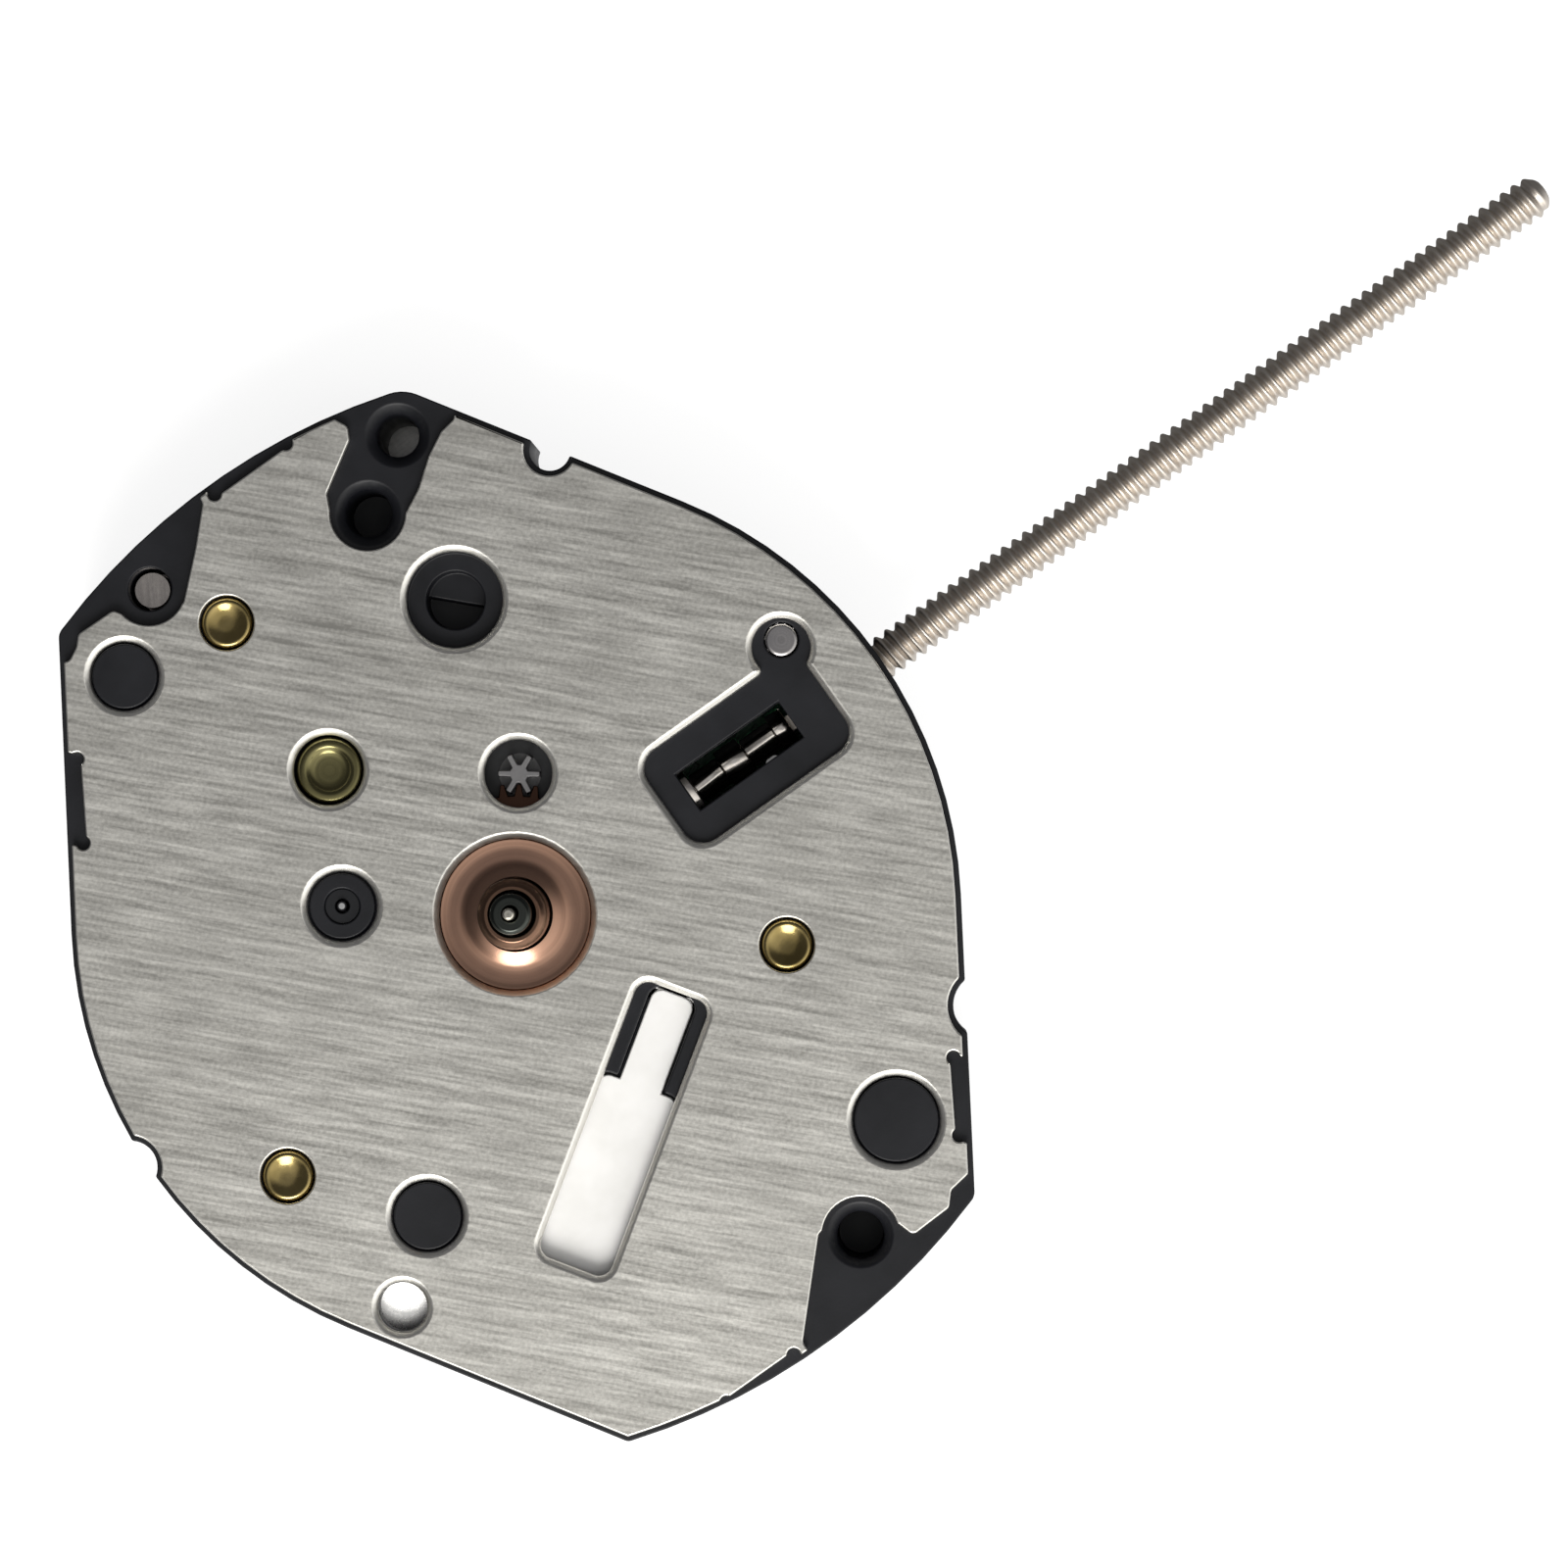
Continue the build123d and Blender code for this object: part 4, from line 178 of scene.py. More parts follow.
class Finish:
    """One procedural material: a Principled shader with colour, roughness and relief from nodes"""

    def __init__(self, name, metallic=0.0):
        self.material = bpy.data.materials.new(name)
        self.material.use_nodes = True
        self.tree = self.material.node_tree
        self.shader = self.tree.nodes["Principled BSDF"]
        self.shader.inputs["Metallic"].default_value = metallic
        self.place = place(self.tree)
        self.normal = None

    def relief(self, height, depth):
        n = add(self.tree, "ShaderNodeBump")
        n.inputs["Strength"].default_value = 1.0
        n.inputs["Distance"].default_value = depth * MM
        put(self.tree, n.inputs["Height"], height)
        if self.normal is not None:
            put(self.tree, n.inputs["Normal"], self.normal)
        self.normal = n.outputs["Normal"]
        put(self.tree, self.shader.inputs["Normal"], self.normal)

    def colour(self, value):
        put(self.tree, self.shader.inputs["Base Color"], value)

    def rough(self, value):
        put(self.tree, self.shader.inputs["Roughness"], value)


def brushed(name, low, high, angle, rough=(0.38, 0.46), slope_sheen=None, across=13000, along=900, depth=0.0010):
    f = Finish(name, 1.0)
    t = f.tree
    fine = noise(t, stretched(t, f.place, angle, along, across), 1.0, 5.0, 0.60)
    long = noise(t, stretched(t, f.place, angle, along * 0.16, across * 0.35), 1.0, 4.0)
    speck = noise(t, f.place, 15000.0, 2.0)
    cloud = noise(t, f.place, 300.0, 2.0)
    lines = maths(t, "ADD", maths(t, "MULTIPLY", fine, 0.42), maths(t, "MULTIPLY", long, 0.33))
    mixed = maths(t, "MULTIPLY_ADD", speck, 0.25, lines)
    base = blend(t, spread(t, mixed, 0.38, 0.62), low, high)
    flat = blend(t, spread(t, cloud, 0.35, 0.75, 0.0, 0.30), base, low)
    # Painted sheen: faces that slope away from flat, such as the hole chamfers, take a lighter colour than
    # the brushed top
    if slope_sheen is not None:
        facing = add(t, "ShaderNodeSeparateXYZ")
        put(t, facing.inputs[0], add(t, "ShaderNodeNewGeometry").outputs["True Normal"])
        level = spread(t, maths(t, "ABSOLUTE", facing.outputs["Z"]), 0.94, 0.985)
        flat = blend(t, level, blend(t, fine, slope_sheen, high), flat)
    f.colour(flat)
    f.rough(spread(t, fine, 0.3, 0.7, rough[0], rough[1]))
    f.relief(fine, depth)
    return f


def turned(name, low, high, centre, way=None, rough=(0.16, 0.28), marks=14000, depth=0.0012):
    f = Finish(name, 1.0)
    t = f.tree
    around, _, _ = round_place(t, f.place, centre, way)
    rings = noise(t, around, marks, 3.0)
    cloud = noise(t, f.place, 1800.0, 3.0)
    base = blend(t, spread(t, rings, 0.3, 0.7), low, high)
    f.colour(blend(t, spread(t, cloud, 0.45, 0.75, 0.0, 0.35), base, low))
    f.rough(spread(t, cloud, 0.3, 0.7, rough[0], rough[1]))
    f.relief(rings, depth)
    return f


def polished(name, low, high, rough=(0.12, 0.24), grain=5200.0, depth=0.0010):
    f = Finish(name, 1.0)
    t = f.tree
    cloud = noise(t, f.place, grain * 0.25, 3.0)
    fine = noise(t, f.place, grain * 3.0, 4.0)
    f.colour(blend(t, spread(t, cloud, 0.35, 0.65), low, high))
    f.rough(spread(t, fine, 0.3, 0.7, rough[0], rough[1]))
    f.relief(fine, depth)
    return f


def moulded(name, low, high, rough=(0.42, 0.58), grain=16000.0, depth=0.0016, specular=0.5):
    f = Finish(name, 0.0)
    t = f.tree
    cloud = noise(t, f.place, 900.0, 3.0)
    fine = noise(t, f.place, grain, 4.0, 0.6)
    f.colour(blend(t, spread(t, cloud, 0.3, 0.7), low, high))
    f.rough(spread(t, cloud, 0.3, 0.7, rough[0], rough[1]))
    f.shader.inputs["Specular IOR Level"].default_value = specular
    f.relief(fine, depth)
    return f


def paint(name, finish):
    o = nodes[name]
    for index in range(max(1, len(o.material_slots))):
        if index < len(o.material_slots):
            o.material_slots[index].material = finish.material
        else:
            o.data.materials.append(finish.material)


def soften(name, width, segments, angle=32.0):
    """Welds the CAD faces and rounds the sharp edges, and the flat faces stay flat"""
    o = nodes[name]
    weld = o.modifiers.new("weld", "WELD")
    weld.merge_threshold = 0.0005 * MM
    bevel = o.modifiers.new("bevel", "BEVEL")
    bevel.width = width * MM
    bevel.segments = segments
    bevel.limit_method = "ANGLE"
    bevel.angle_limit = math.radians(angle)
    bevel.use_clamp_overlap = False
    bevel.loop_slide = False
    bevel.harden_normals = True


# World: white behind the object, and a studio that is bright towards the photograph's bottom
def photo_way(angle):
    """Direction on the floor at an angle from the photograph's right, towards its top"""
    return PHOTO_RIGHT * math.cos(math.radians(angle)) + PHOTO_UP * math.sin(math.radians(angle))


window_way = photo_way(-62)
key_way = photo_way(-94)
studio_dark = (0.12, 0.12, 0.125, 1.0)
studio_light = (1.0, 0.995, 0.98, 1.0)
window_light = (1.80, 1.78, 1.74, 1.0)
card_grey = (0.34, 0.34, 0.35, 1.0)
card_window_share = -0.105
card_up_share = 0.9945
ground_dark = (0.14, 0.14, 0.14, 1.0)
ground_light = (0.95, 0.95, 0.95, 1.0)
plain_white = (1.0, 1.0, 1.0, 1.0)
world = bpy.data.worlds.new("studio")
world.use_nodes = True
bpy.context.scene.world = world
w = world.node_tree
for n in list(w.nodes):
    w.nodes.remove(n)
direction = add(w, "ShaderNodeTexCoord").outputs["Generated"]
towards = add(w, "ShaderNodeVectorMath", operation="DOT_PRODUCT")
put(w, towards.inputs[0], direction)
towards.inputs[1].default_value = window_way
height = add(w, "ShaderNodeSeparateXYZ")
put(w, height.inputs[0], direction)
up_there = height.outputs["Z"]
along_window = towards.outputs["Value"]
slope = spread(w, maths(w, "ADD", along_window, up_there), 0.68, 1.20, smooth=True)
studio = blend(w, slope, studio_dark, studio_light)
front = spread(w, along_window, 0.26, 0.90, smooth=True)
studio = blend(w, front, studio, window_light)
card_up = maths(w, "MULTIPLY", up_there, card_up_share)
card = maths(w, "MULTIPLY_ADD", along_window, card_window_share, card_up)
overhead = spread(w, card, 0.962, 0.992, smooth=True)
studio = blend(w, overhead, studio, card_grey)
below = spread(w, up_there, 0.02, -0.08)
ground = spread(w, along_window, -0.30, 0.30, smooth=True)
studio = blend(w, below, studio, blend(w, ground, ground_dark, ground_light))
path = add(w, "ShaderNodeLightPath")
seen = maths(w, "MAXIMUM", path.outputs["Is Camera Ray"], path.outputs["Is Transmission Ray"])
around = add(w, "ShaderNodeBackground")
put(w, around.inputs["Color"], blend(w, seen, studio, plain_white))
put(w, around.inputs["Strength"], 1.0)
world_out = add(w, "ShaderNodeOutputWorld")
w.links.new(around.outputs[0], world_out.inputs["Surface"])

# Lamp: one large soft light from the photograph's bottom
lamp_data = bpy.data.lights.new("key", "AREA")
lamp_data.shape = "ELLIPSE"
lamp_data.size = 0.075
lamp_data.size_y = 0.085
lamp_data.energy = 0.15
lamp_data.color = (1.0, 0.985, 0.955)
lamp = bpy.data.objects.new("key", lamp_data)
lamp_height = math.radians(47)
lamp_distance = 0.150
lamp_shift = 1.5 * MM
lamp_way = key_way * math.cos(lamp_height) + Vector((0, 0, math.sin(lamp_height)))
lamp.location = Vector((lamp_shift, 0, 0)) + lamp_way * lamp_distance
lamp.rotation_euler = lamp_way.to_track_quat("Z", "Y").to_euler()
bpy.context.scene.collection.objects.link(lamp)

# Floor: pale, white to the camera with the object's shadow kept, and left out of reflections
floor_mesh = bpy.data.meshes.new("floor")
floor_half = 3.0
floor_gap = 0.00001
floor_level = cad_box[0][2] - floor_gap
floor_corners = [
    (x * floor_half, y * floor_half, floor_level)
    for x, y in ((-1, -1), (1, -1), (1, 1), (-1, 1))
]
floor_mesh.from_pydata(floor_corners, [], [(0, 1, 2, 3)])
floor = bpy.data.objects.new("floor", floor_mesh)
bpy.context.scene.collection.objects.link(floor)
floor.visible_glossy = False
floor_material = bpy.data.materials.new("pale_floor")
floor_material.use_nodes = True
g = floor_material.node_tree
for n in list(g.nodes):
    g.nodes.remove(n)
plain = add(g, "ShaderNodeBsdfDiffuse")
put(g, plain.inputs["Color"], (0.80, 0.80, 0.80, 1.0))
shadow = add(g, "ShaderNodeBsdfDiffuse")
put(g, shadow.inputs["Color"], (0.36, 0.36, 0.36, 1.0))
white = add(g, "ShaderNodeEmission")
put(g, white.inputs["Color"], plain_white)
put(g, white.inputs["Strength"], 0.86)
shown = add(g, "ShaderNodeAddShader")
g.links.new(shadow.outputs[0], shown.inputs[0])
g.links.new(white.outputs[0], shown.inputs[1])
floor_path = add(g, "ShaderNodeLightPath")
floor_seen = maths(
    g, "MAXIMUM", floor_path.outputs["Is Camera Ray"], floor_path.outputs["Is Transmission Ray"])
floor_mix = add(g, "ShaderNodeMixShader")
put(g, floor_mix.inputs[0], floor_seen)
g.links.new(plain.outputs[0], floor_mix.inputs[1])
g.links.new(shown.outputs[0], floor_mix.inputs[2])
floor_out = add(g, "ShaderNodeOutputMaterial")
g.links.new(floor_mix.outputs[0], floor_out.inputs["Surface"])
floor_mesh.materials.append(floor_material)


# Axes of the pieces, in mm
dial_axis = (0, 0, 0)
minute_axis = (1.4276, 1.9293, 0)
third_axis = (0, 1.85, 0)
rotor_axis = (-2.3294, 1.8198, 0)
insert_axis = (-1.18, 3.85, 0)
post_axes = ((-5.730, -1.400), (-1.150, 6.900), (3.480, -3.100))
battery_axis = (-1.4017, -5.1950, 0)
lever_axis = (6.40, 1.20, 0)
stem_axis = (0, 0, -1.60)
x_way = (1, 0, 0)

# Finishes
# The dial plate's lighter slope colour is a painted sheen on its hole chamfers
steel_plate = brushed("brushed_dial_plate", tone(160, 158, 152), tone(230, 228, 221), -45.5,
                      rough=(0.34, 0.42), slope_sheen=tone(232, 230, 224))
cover_steel = brushed("brushed_cover", tone(150, 149, 147), tone(192, 191, 188), 0.0, (0.30, 0.40))
black = moulded("black_moulding", tone(13, 14, 18), tone(22, 23, 28), (0.38, 0.50), 16000.0, 0.0012, 0.30)
amber_mould = moulded("amber_moulding", tone(176, 120, 52), tone(198, 142, 70), (0.30, 0.42))
bobbin_mould = moulded("bobbin_moulding", tone(40, 42, 40), tone(56, 58, 56), (0.34, 0.46))
seal_mould = moulded("seal_moulding", tone(26, 52, 72), tone(36, 66, 88), (0.30, 0.42))
chip_mould = moulded("chip_moulding", tone(18, 18, 19), tone(30, 30, 31), (0.48, 0.62), 12000.0, 0.004)
film = moulded("insulating_film", tone(178, 106, 26), tone(196, 124, 40), (0.14, 0.22))
brass = polished("turned_brass", tone(134, 118, 74), tone(166, 148, 100), (0.14, 0.22))
insert_brass = turned("insert_brass", tone(100, 95, 64), tone(128, 122, 86), insert_axis)
gear_brass = turned("wheel_brass", tone(186, 150, 78), tone(214, 182, 110), dial_axis)
third_brass = turned("third_brass", tone(186, 150, 78), tone(214, 182, 110), third_axis)
lever_brass = polished("lever_brass", tone(184, 146, 74), tone(212, 178, 104))
copper = turned("copper_washer", tone(150, 117, 99), tone(176, 139, 118), dial_axis,
                rough=(0.19, 0.26), marks=9000, depth=0.0006)
# Hour pipe copper with painted shade: from 0.70 to 0.80 mm out from the axis the wheel turns dark brown,
# as shadow over its teeth
pipe_copper = Finish("copper_pipe", 1.0)
teeth_shade_reach = (0.70 * MM, 0.80 * MM)
pt = pipe_copper.tree
pipe_around, pipe_reach, _ = round_place(pt, pipe_copper.place, dial_axis)
pipe_rings = noise(pt, pipe_around, 9000, 3.0)
pipe_base = blend(pt, spread(pt, pipe_rings, 0.3, 0.7), tone(104, 80, 66), tone(130, 102, 84))
pipe_copper.colour(blend(pt, spread(pt, pipe_reach, *teeth_shade_reach), pipe_base, tone(66, 47, 38)))
pipe_copper.rough(spread(pt, noise(pt, pipe_copper.place, 1800.0, 3.0), 0.3, 0.7, 0.16, 0.26))
pipe_copper.relief(pipe_rings, 0.0006)
post_steel = turned("minute_post_steel", tone(52, 55, 52), tone(74, 77, 73), dial_axis)
arbor_steel = turned("arbor_steel", tone(176, 172, 160), tone(206, 202, 190), dial_axis)
stem_steel = turned("stem_steel", tone(196, 188, 179), tone(218, 210, 200), stem_axis, x_way, (0.36, 0.44))
clutch_steel = turned("clutch_steel", tone(232, 224, 214), tone(248, 242, 234), stem_axis, x_way,
                      (0.12, 0.20))
pin_steel = turned("pin_steel", tone(146, 143, 142), tone(176, 173, 172), lever_axis)
steel = polished("polished_steel", tone(158, 157, 154), tone(190, 189, 186))
bright = polished("bright_nickel", tone(196, 194, 188), tone(224, 222, 216), (0.10, 0.22))
strip_nickel = polished("strip_nickel", tone(244, 243, 240), tone(252, 251, 249), (0.42, 0.50),
                        depth=0.0006)
strip_nickel.shader.inputs["Metallic"].default_value = 0.20
contact_nickel = polished("contact_nickel", tone(240, 239, 237), tone(250, 249, 247), (0.24, 0.32),
                          depth=0.0004)
contact_lean = math.radians(8.0)
nt = contact_nickel.tree
lean_height = add(nt, "ShaderNodeVectorMath", operation="DOT_PRODUCT")
put(nt, lean_height.inputs[0], contact_nickel.place)
lean_height.inputs[1].default_value = window_way * (-math.tan(contact_lean) / MM)
contact_nickel.relief(lean_height.outputs["Value"], 1.0)
dark_boss = moulded("dark_boss", tone(14, 15, 18), tone(24, 25, 28), (0.30, 0.42), 16000.0, 0.0008, 0.30)
# Rotor pivot with a painted glint: within 0.045 to 0.060 mm of the axis the tip is near white, and the
# rest of the pinion is dark
pivot_steel = Finish("rotor_pivot", 1.0)
pivot_glint_reach = (0.045 * MM, 0.060 * MM)
vt = pivot_steel.tree
_, pivot_reach, _ = round_place(vt, pivot_steel.place, rotor_axis)
pivot_speck = noise(vt, pivot_steel.place, 12000.0, 3.0)
pivot_steel.colour(blend(vt, spread(vt, pivot_reach, *pivot_glint_reach),
                         blend(vt, pivot_speck, tone(214, 214, 212), tone(238, 238, 236)),
                         blend(vt, pivot_speck, tone(44, 44, 46), tone(66, 66, 68))))
pivot_steel.rough(spread(vt, pivot_speck, 0.3, 0.7, 0.16, 0.28))
pivot_steel.relief(pivot_speck, 0.0006)
alloy = brushed("core_alloy", tone(156, 150, 146), tone(186, 180, 174), 61.0, (0.22, 0.34))
minute_mould = Finish("minute_wheel_moulding")
leaf_edge = (0.350 * MM, 0.365 * MM)
mt = minute_mould.tree
_, minute_reach, _ = round_place(mt, minute_mould.place, minute_axis)
leaf = spread(mt, minute_reach, *leaf_edge, 1.0, 0.0)
speck = noise(mt, minute_mould.place, 16000.0, 4.0)
minute_mould.colour(blend(mt, leaf, blend(mt, speck, tone(16, 17, 19), tone(26, 27, 30)),
                          blend(mt, speck, tone(98, 97, 98), tone(116, 115, 116))))
minute_mould.rough(spread(mt, speck, 0.3, 0.7, 0.34, 0.46))
minute_mould.relief(speck, 0.0012)
magnet = polished("sintered_magnet", tone(70, 70, 74), tone(96, 96, 100), (0.40, 0.55), 9000.0, 0.004)
can = turned("cell_can", tone(176, 176, 176), tone(206, 206, 205), battery_axis)
cap = polished("cell_cap", tone(182, 182, 182), tone(208, 208, 207), (0.30, 0.42), 9000.0, 0.003)

# Circuit board: green mask over copper runs, with bare pads
board = Finish("board_mask")
bt = board.tree
cells = add(bt, "ShaderNodeTexBrick", offset=0.37, squash=0.8, squash_frequency=3)
put(bt, cells.inputs["Vector"], stretched(bt, board.place, 24.0, 1.0, 1.0))
cells.inputs["Scale"].default_value = 900.0
cells.inputs["Mortar Size"].default_value = 0.09
cells.inputs["Mortar Smooth"].default_value = 0.2
run = cells.outputs["Fac"]
weave = noise(bt, board.place, 9000.0, 3.0)
mask = blend(bt, run, tone(20, 82, 52), tone(44, 118, 76))
board.colour(blend(bt, maths(bt, "MULTIPLY", weave, 0.3), mask, tone(12, 58, 36)))
board.rough(spread(bt, weave, 0.3, 0.7, 0.26, 0.40))
board.relief(run, 0.006)

# Winding: enamelled copper wire
wire = Finish("enamelled_wire", 1.0)
wt = wire.tree
coil_way = (0.483, 0.8755, 0)
coil_centre = (-4.62, 3.40, -2.01)
wire_spacing = 0.045 * MM
_, _, along_coil = round_place(wt, wire.place, coil_centre, coil_way)
turns = maths(wt, "SINE", maths(wt, "MULTIPLY", along_coil, 2 * math.pi / wire_spacing))
wear = noise(wt, wire.place, 3000.0, 3.0)
wire.colour(blend(wt, spread(wt, wear, 0.3, 0.7), tone(150, 66, 30), tone(206, 112, 62)))
wire.rough(spread(wt, wear, 0.3, 0.7, 0.20, 0.34))
wire.relief(turns, 0.004)

# Finish of each piece that keeps its CAD mesh
piece_finishes = {
    "dial_side_plate": steel_plate,
    "main_plate": black,
    "rotor_bearing": dark_boss,
    "hour_wheel": pipe_copper,
    "minute_wheel": minute_mould,
    "setting_wheel": steel,
    "cannon_pinion": post_steel,
    "centre_wheel": gear_brass,
    "third_wheel": third_brass,
    "seconds_wheel": arbor_steel,
    "fifth_wheel": amber_mould,
    "rotor_pinion": pivot_steel,
    "rotor_magnet": magnet,
    "stator": alloy,
    "coil_core": alloy,
    "coil_bobbin": bobbin_mould,
    "coil_terminals": board,
    "train_bridge": steel,
    "bridge_screws": bright,
    "circuit_board": board,
    "chip": chip_mould,
    "quartz_crystal": bright,
    "insulator": film,
    "circuit_cover": cover_steel,
    "cover_screws": bright,
    "battery_can": can,
    "battery_cap": cap,
    "battery_seal": seal_mould,
    "negative_contact": strip_nickel,
    "positive_contact": contact_nickel,
    "clutch_wheel": clutch_steel,
    "stem_shoe": steel,
    "setting_lever_axle": pin_steel,
    "yoke": steel,
    "yoke_pin": steel,
    "reset_lever": lever_brass,
    "reset_lever_pin": steel,
}
for name, finish in piece_finishes.items():
    paint(name, finish)

# Rounded edges: the width in mm and the number of segments of each
rounded_edges = {
    "main_plate": (0.03, 2),
    "dial_side_plate": (0.03, 3),
    "rotor_bearing": (0.02, 2),
    "hour_wheel": (0.02, 2),
    "cannon_pinion": (0.02, 2),
    "seconds_wheel": (0.012, 2),
    "minute_wheel": (0.02, 2),
    "negative_contact": (0.03, 2),
    "positive_contact": (0.03, 2),
    "clutch_wheel": (0.025, 2),
    "setting_lever_axle": (0.04, 3),
    "circuit_cover": (0.03, 2),
    "cover_screws": (0.03, 2),
    "battery_can": (0.08, 3),
    "battery_cap": (0.06, 3),
    "quartz_crystal": (0.04, 2),
}
for name, (width, segments) in rounded_edges.items():
    soften(name, width, segments)

# Pieces made here: points closer than the first distance are joined, slivers under the second go, in mm
join_distance = 0.0004
sliver_distance = 0.0001


def piece(name, points, faces, body, finish, node, slot, angle=40.0):
    mesh = bpy.data.meshes.new(name)
    mesh.from_pydata([Vector(p) * MM for p in points], [], faces)
    shape = bmesh.new()
    shape.from_mesh(mesh)
    bmesh.ops.remove_doubles(shape, verts=shape.verts, dist=join_distance * MM)
    bmesh.ops.dissolve_degenerate(shape, edges=shape.edges, dist=sliver_distance * MM)
    bmesh.ops.holes_fill(shape, edges=shape.edges)
    bmesh.ops.recalc_face_normals(shape, faces=shape.faces)
    shape.to_mesh(mesh)
    shape.free()
    mesh.validate()
    for polygon in mesh.polygons:
        polygon.use_smooth = True
    mesh.set_sharp_from_angle(angle=math.radians(angle))
    mesh.materials.append(finish.material)
    o = bpy.data.objects.new(name, mesh)
    bpy.context.scene.collection.objects.link(o)
    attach(o, body)
    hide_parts(node)


def step(value):
    value = min(1.0, max(0.0, value))
    return value * value * (3 - 2 * value)


def winding(place_at, pitch, start, end, profile, radius, segments, first, last):
    """Faces of a rod with a screw line: rows follow the helix, so its crests stay sharp"""
    rows = len(profile)
    total = int((end - start) / pitch + 2) * rows
    points = []
    for row in range(total + 1):
        turn, index = divmod(row, rows)
        share, depth = profile[index]
        for j in range(segments):
            along = start + (turn - 1 + share + j / segments) * pitch
            inside = min(max(along, start), end)
            fade = step((inside - start) / first) * step((end - inside) / last)
            points.append(place_at(inside, radius(inside) - depth * fade, 2 * math.pi * j / segments))
    faces = []
    for row in range(total):
        for j in range(segments - 1):
            a = row * segments + j
            faces.append((a, a + segments, a + segments + 1, a + 1))
        if row + rows + 1 <= total:
            a = row * segments + segments - 1
            b = (row + rows) * segments
            faces.append((a, a + segments, b + segments, b))
    return points, faces


def rings(place_at, stations, segments, offset):
    """Faces of a turned or squared length: stations are (place, radius, squareness)"""
    points = []
    faces = []
    for along, radius, square in stations:
        for j in range(segments):
            angle = 2 * math.pi * j / segments
            flat = radius / max(abs(math.cos(angle)), abs(math.sin(angle)))
            points.append(place_at(along, flat if square else radius, angle))
    for row in range(len(stations) - 1):
        for j in range(segments):
            a = offset + row * segments + j
            b = offset + row * segments + (j + 1) % segments
            faces.append((a, a + segments, b + segments, b))
    return points, faces


def turned_body(profile, centres, segments=56):
    """Faces of bodies turned about upright axes from one profile of (radius, level)"""
    points = []
    faces = []
    for centre in centres:
        first = len(points)
        for radius, level in profile:
            for j in range(segments):
                angle = 2 * math.pi * j / segments
                x = centre[0] + radius * math.cos(angle)
                y = centre[1] + radius * math.sin(angle)
                points.append((x, y, level))
        for row in range(len(profile) - 1):
            for j in range(segments):
                a = first + row * segments + j
                b = first + row * segments + (j + 1) % segments
                faces.append((a, a + segments, b + segments, b))
    return points, faces


# Brass posts and insert: their ends are slightly dished, with a rounded rim
post_profile = (
    (0.0001, -0.088), (0.12, -0.085), (0.20, -0.074), (0.26, -0.056), (0.305, -0.036), (0.335, -0.023),
    (0.355, -0.020), (0.375, -0.023), (0.40, -0.038), (0.422, -0.062), (0.435, -0.090), (0.44, -0.12),
    (0.44, -2.90), (0.24, -2.90), (0.24, -1.325), (0.0001, -1.325),
)
piece("dished_posts", *turned_body(post_profile, post_axes), "movement", brass, "brass_posts", "brass")
insert_profile = (
    (0.0001, -0.300), (0.20, -0.298), (0.29, -0.290), (0.33, -0.276), (0.36, -0.254), (0.385, -0.234),
    (0.41, -0.223), (0.44, -0.220), (0.50, -0.226), (0.54, -0.238), (0.562, -0.256), (0.57, -0.28),
    (0.57, -0.47), (0.42, -0.47), (0.42, -2.50), (0.20, -2.50), (0.20, -1.60), (0.0001, -1.60),
)
piece("dished_insert", *turned_body(insert_profile, (insert_axis,)), "movement", insert_brass,
      "bridge_insert", "brass")

# Dished washer: a flat rim and a cone that runs up to the hour pipe
washer_profile = (
    (0.645, -0.078), (0.70, -0.092), (0.78, -0.120), (0.85, -0.146), (0.91, -0.160), (0.98, -0.165),
    (1.10, -0.166), (1.20, -0.162), (1.25, -0.152), (1.275, -0.150), (1.285, -0.160), (1.285, -0.200),
    (1.20, -0.228), (0.92, -0.228), (0.645, -0.136), (0.645, -0.078),
)
washer_segments = 96
piece("dished_washer", *turned_body(washer_profile, (dial_axis,), washer_segments), "hour", copper,
      "dial_washer", "copper")

# Setting stem with its real thread: sizes and places along the stem, in mm
thread_pitch = 0.2245
thread_start = 7.30
thread_end = 21.62
thread_run_in = 0.20
thread_run_out = 0.35
thread_radius = 0.376
journal_step = 0.024
journal_fade = 0.15
tip_start = 21.33
tip_length = 0.32
tip_roundness = 0.96
stem_segments = 30


def on_stem(along, radius, angle):
    return (along, radius * math.cos(angle), stem_axis[2] + radius * math.sin(angle))


def stem_radius(along):
    tip = max(0.0, along - tip_start) / tip_length
    shaft = thread_radius + journal_step * step((thread_start - along) / journal_fade)
    return shaft * math.sqrt(max(0.0, 1 - tip_roundness * tip * tip))


thread_profile = (
    (0.0, 0.0), (0.10, 0.010), (0.20, 0.036), (0.30, 0.069), (0.40, 0.095),
    (0.50, 0.105), (0.60, 0.095), (0.70, 0.069), (0.80, 0.036), (0.90, 0.010),
)
stem_points, stem_faces = winding(
    on_stem, thread_pitch, thread_start, thread_end, thread_profile, stem_radius, stem_segments,
    thread_run_in, thread_run_out)
inner_stations = [
    (2.45, 0.0, False), (2.45, 0.12, False), (2.47, 0.14, False), (3.20, 0.14, False),
    (3.20, 0.15, True), (5.80, 0.15, True), (5.80, 0.37, False), (5.83, 0.40, False),
    (5.95, 0.40, False), (5.98, 0.37, False), (5.98, 0.22, False), (6.52, 0.22, False),
    (6.52, 0.37, False), (6.55, 0.40, False), (7.15, 0.40, False), (7.31, 0.376, False),
]
tip_stations = [(21.60, stem_radius(21.61), False), (21.635, 0.10, False), (21.65, 0.0, False)]
for stations in (inner_stations, tip_stations):
    more_points, more_faces = rings(on_stem, stations, stem_segments, len(stem_points))
    stem_points += more_points
    stem_faces += more_faces
piece("threaded_stem", stem_points, stem_faces, "stem", stem_steel, "stem", "dark_steel", 50.0)

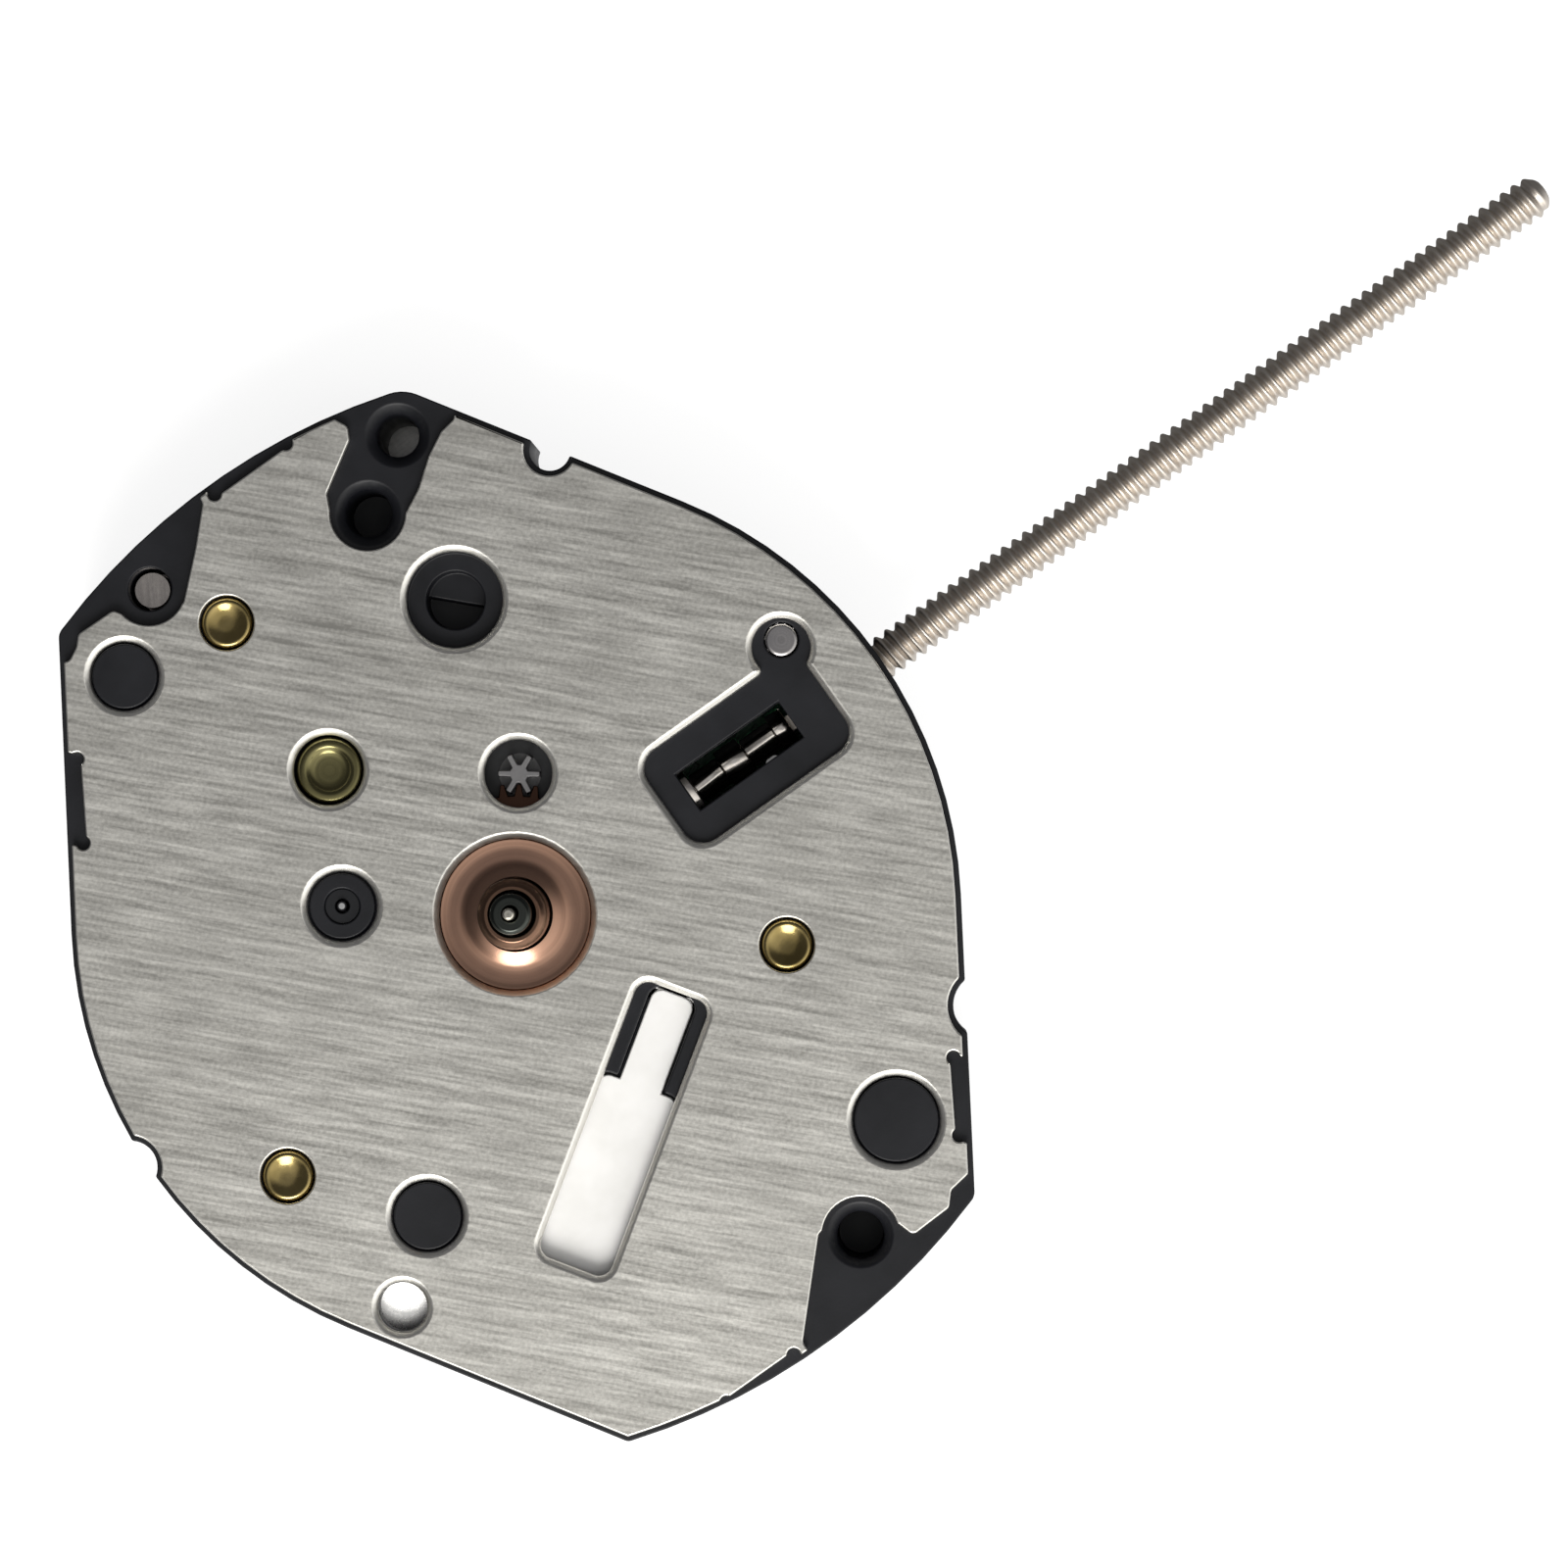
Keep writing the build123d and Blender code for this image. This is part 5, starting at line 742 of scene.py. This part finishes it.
# Setting lever: its tip is cut back where it would meet the main plate with the stem pulled
# The CAD lever keeps its longer tip, which overlaps the plate there by about 0.1 mm
pulled_turn = 0.40813
pocket_walls = (((6.985, 0.0, 0.0), (1.0, 0.0, 0.0)), ((6.972, 0.3, 0.0), (1.0, 0.06, 0.0)))
lever_axle = Vector(lever_axis)
lever_back = Matrix.Rotation(-pulled_turn, 3, "Z")
lever_shape = bmesh.new()
lever_shape.from_mesh(nodes["setting_lever"].data)
bmesh.ops.remove_doubles(lever_shape, verts=lever_shape.verts, dist=sliver_distance * MM)
for wall_place, wall_way in pocket_walls:
    cut = bmesh.ops.bisect_plane(
        lever_shape, geom=lever_shape.verts[:] + lever_shape.edges[:] + lever_shape.faces[:],
        plane_co=(lever_back @ (Vector(wall_place) - lever_axle) + lever_axle) * MM,
        plane_no=lever_back @ Vector(wall_way), clear_outer=True)
    rim = [e for e in cut["geom_cut"] if isinstance(e, bmesh.types.BMEdge)]
    bmesh.ops.edgeloop_fill(lever_shape, edges=rim)
lever_shape.verts.index_update()
lever_points = [v.co / MM for v in lever_shape.verts]
lever_faces = [[v.index for v in f.verts] for f in lever_shape.faces]
lever_shape.free()
piece("trimmed_lever", lever_points, lever_faces, "lever", steel, "setting_lever", "polished_steel")

# Coil winding: one outer layer of turns over a plain core, with its sizes in mm
coil_half = 2.585
coil_outer = 0.628
coil_drop = 0.05
coil_shoulder = 2.35
coil_shoulder_fade = 0.22
coil_end_inner = 0.30
coil_end_outer = 0.578
coil_segments = 24
turn_pitch = 0.09
turn_fade = 0.05


def on_coil(along, radius, angle):
    way = Vector(coil_way).normalized()
    across = Vector((-way.y, way.x, 0))
    rise = Vector((0, 0, radius * math.sin(angle)))
    return Vector(coil_centre) + way * along + across * radius * math.cos(angle) + rise


def coil_radius(along):
    return coil_outer - coil_drop * step((abs(along) - coil_shoulder) / coil_shoulder_fade)


wire_profile = ((0.0, 0.0), (0.3, 0.006), (0.5, 0.020), (0.7, 0.006))
coil_points, coil_faces = winding(
    on_coil, turn_pitch, -coil_half, coil_half, wire_profile, coil_radius, coil_segments,
    turn_fade, turn_fade)
coil_ends = (
    [(-coil_half, coil_end_inner, False), (-coil_half, coil_end_outer, False)],
    [(coil_half, coil_end_outer, False), (coil_half, coil_end_inner, False)],
)
for stations in coil_ends:
    more_points, more_faces = rings(on_coil, stations, coil_segments, len(coil_points))
    coil_points += more_points
    coil_faces += more_faces
piece("wound_coil", coil_points, coil_faces, "movement", wire, "coil_winding", "copper_wire", 60.0)
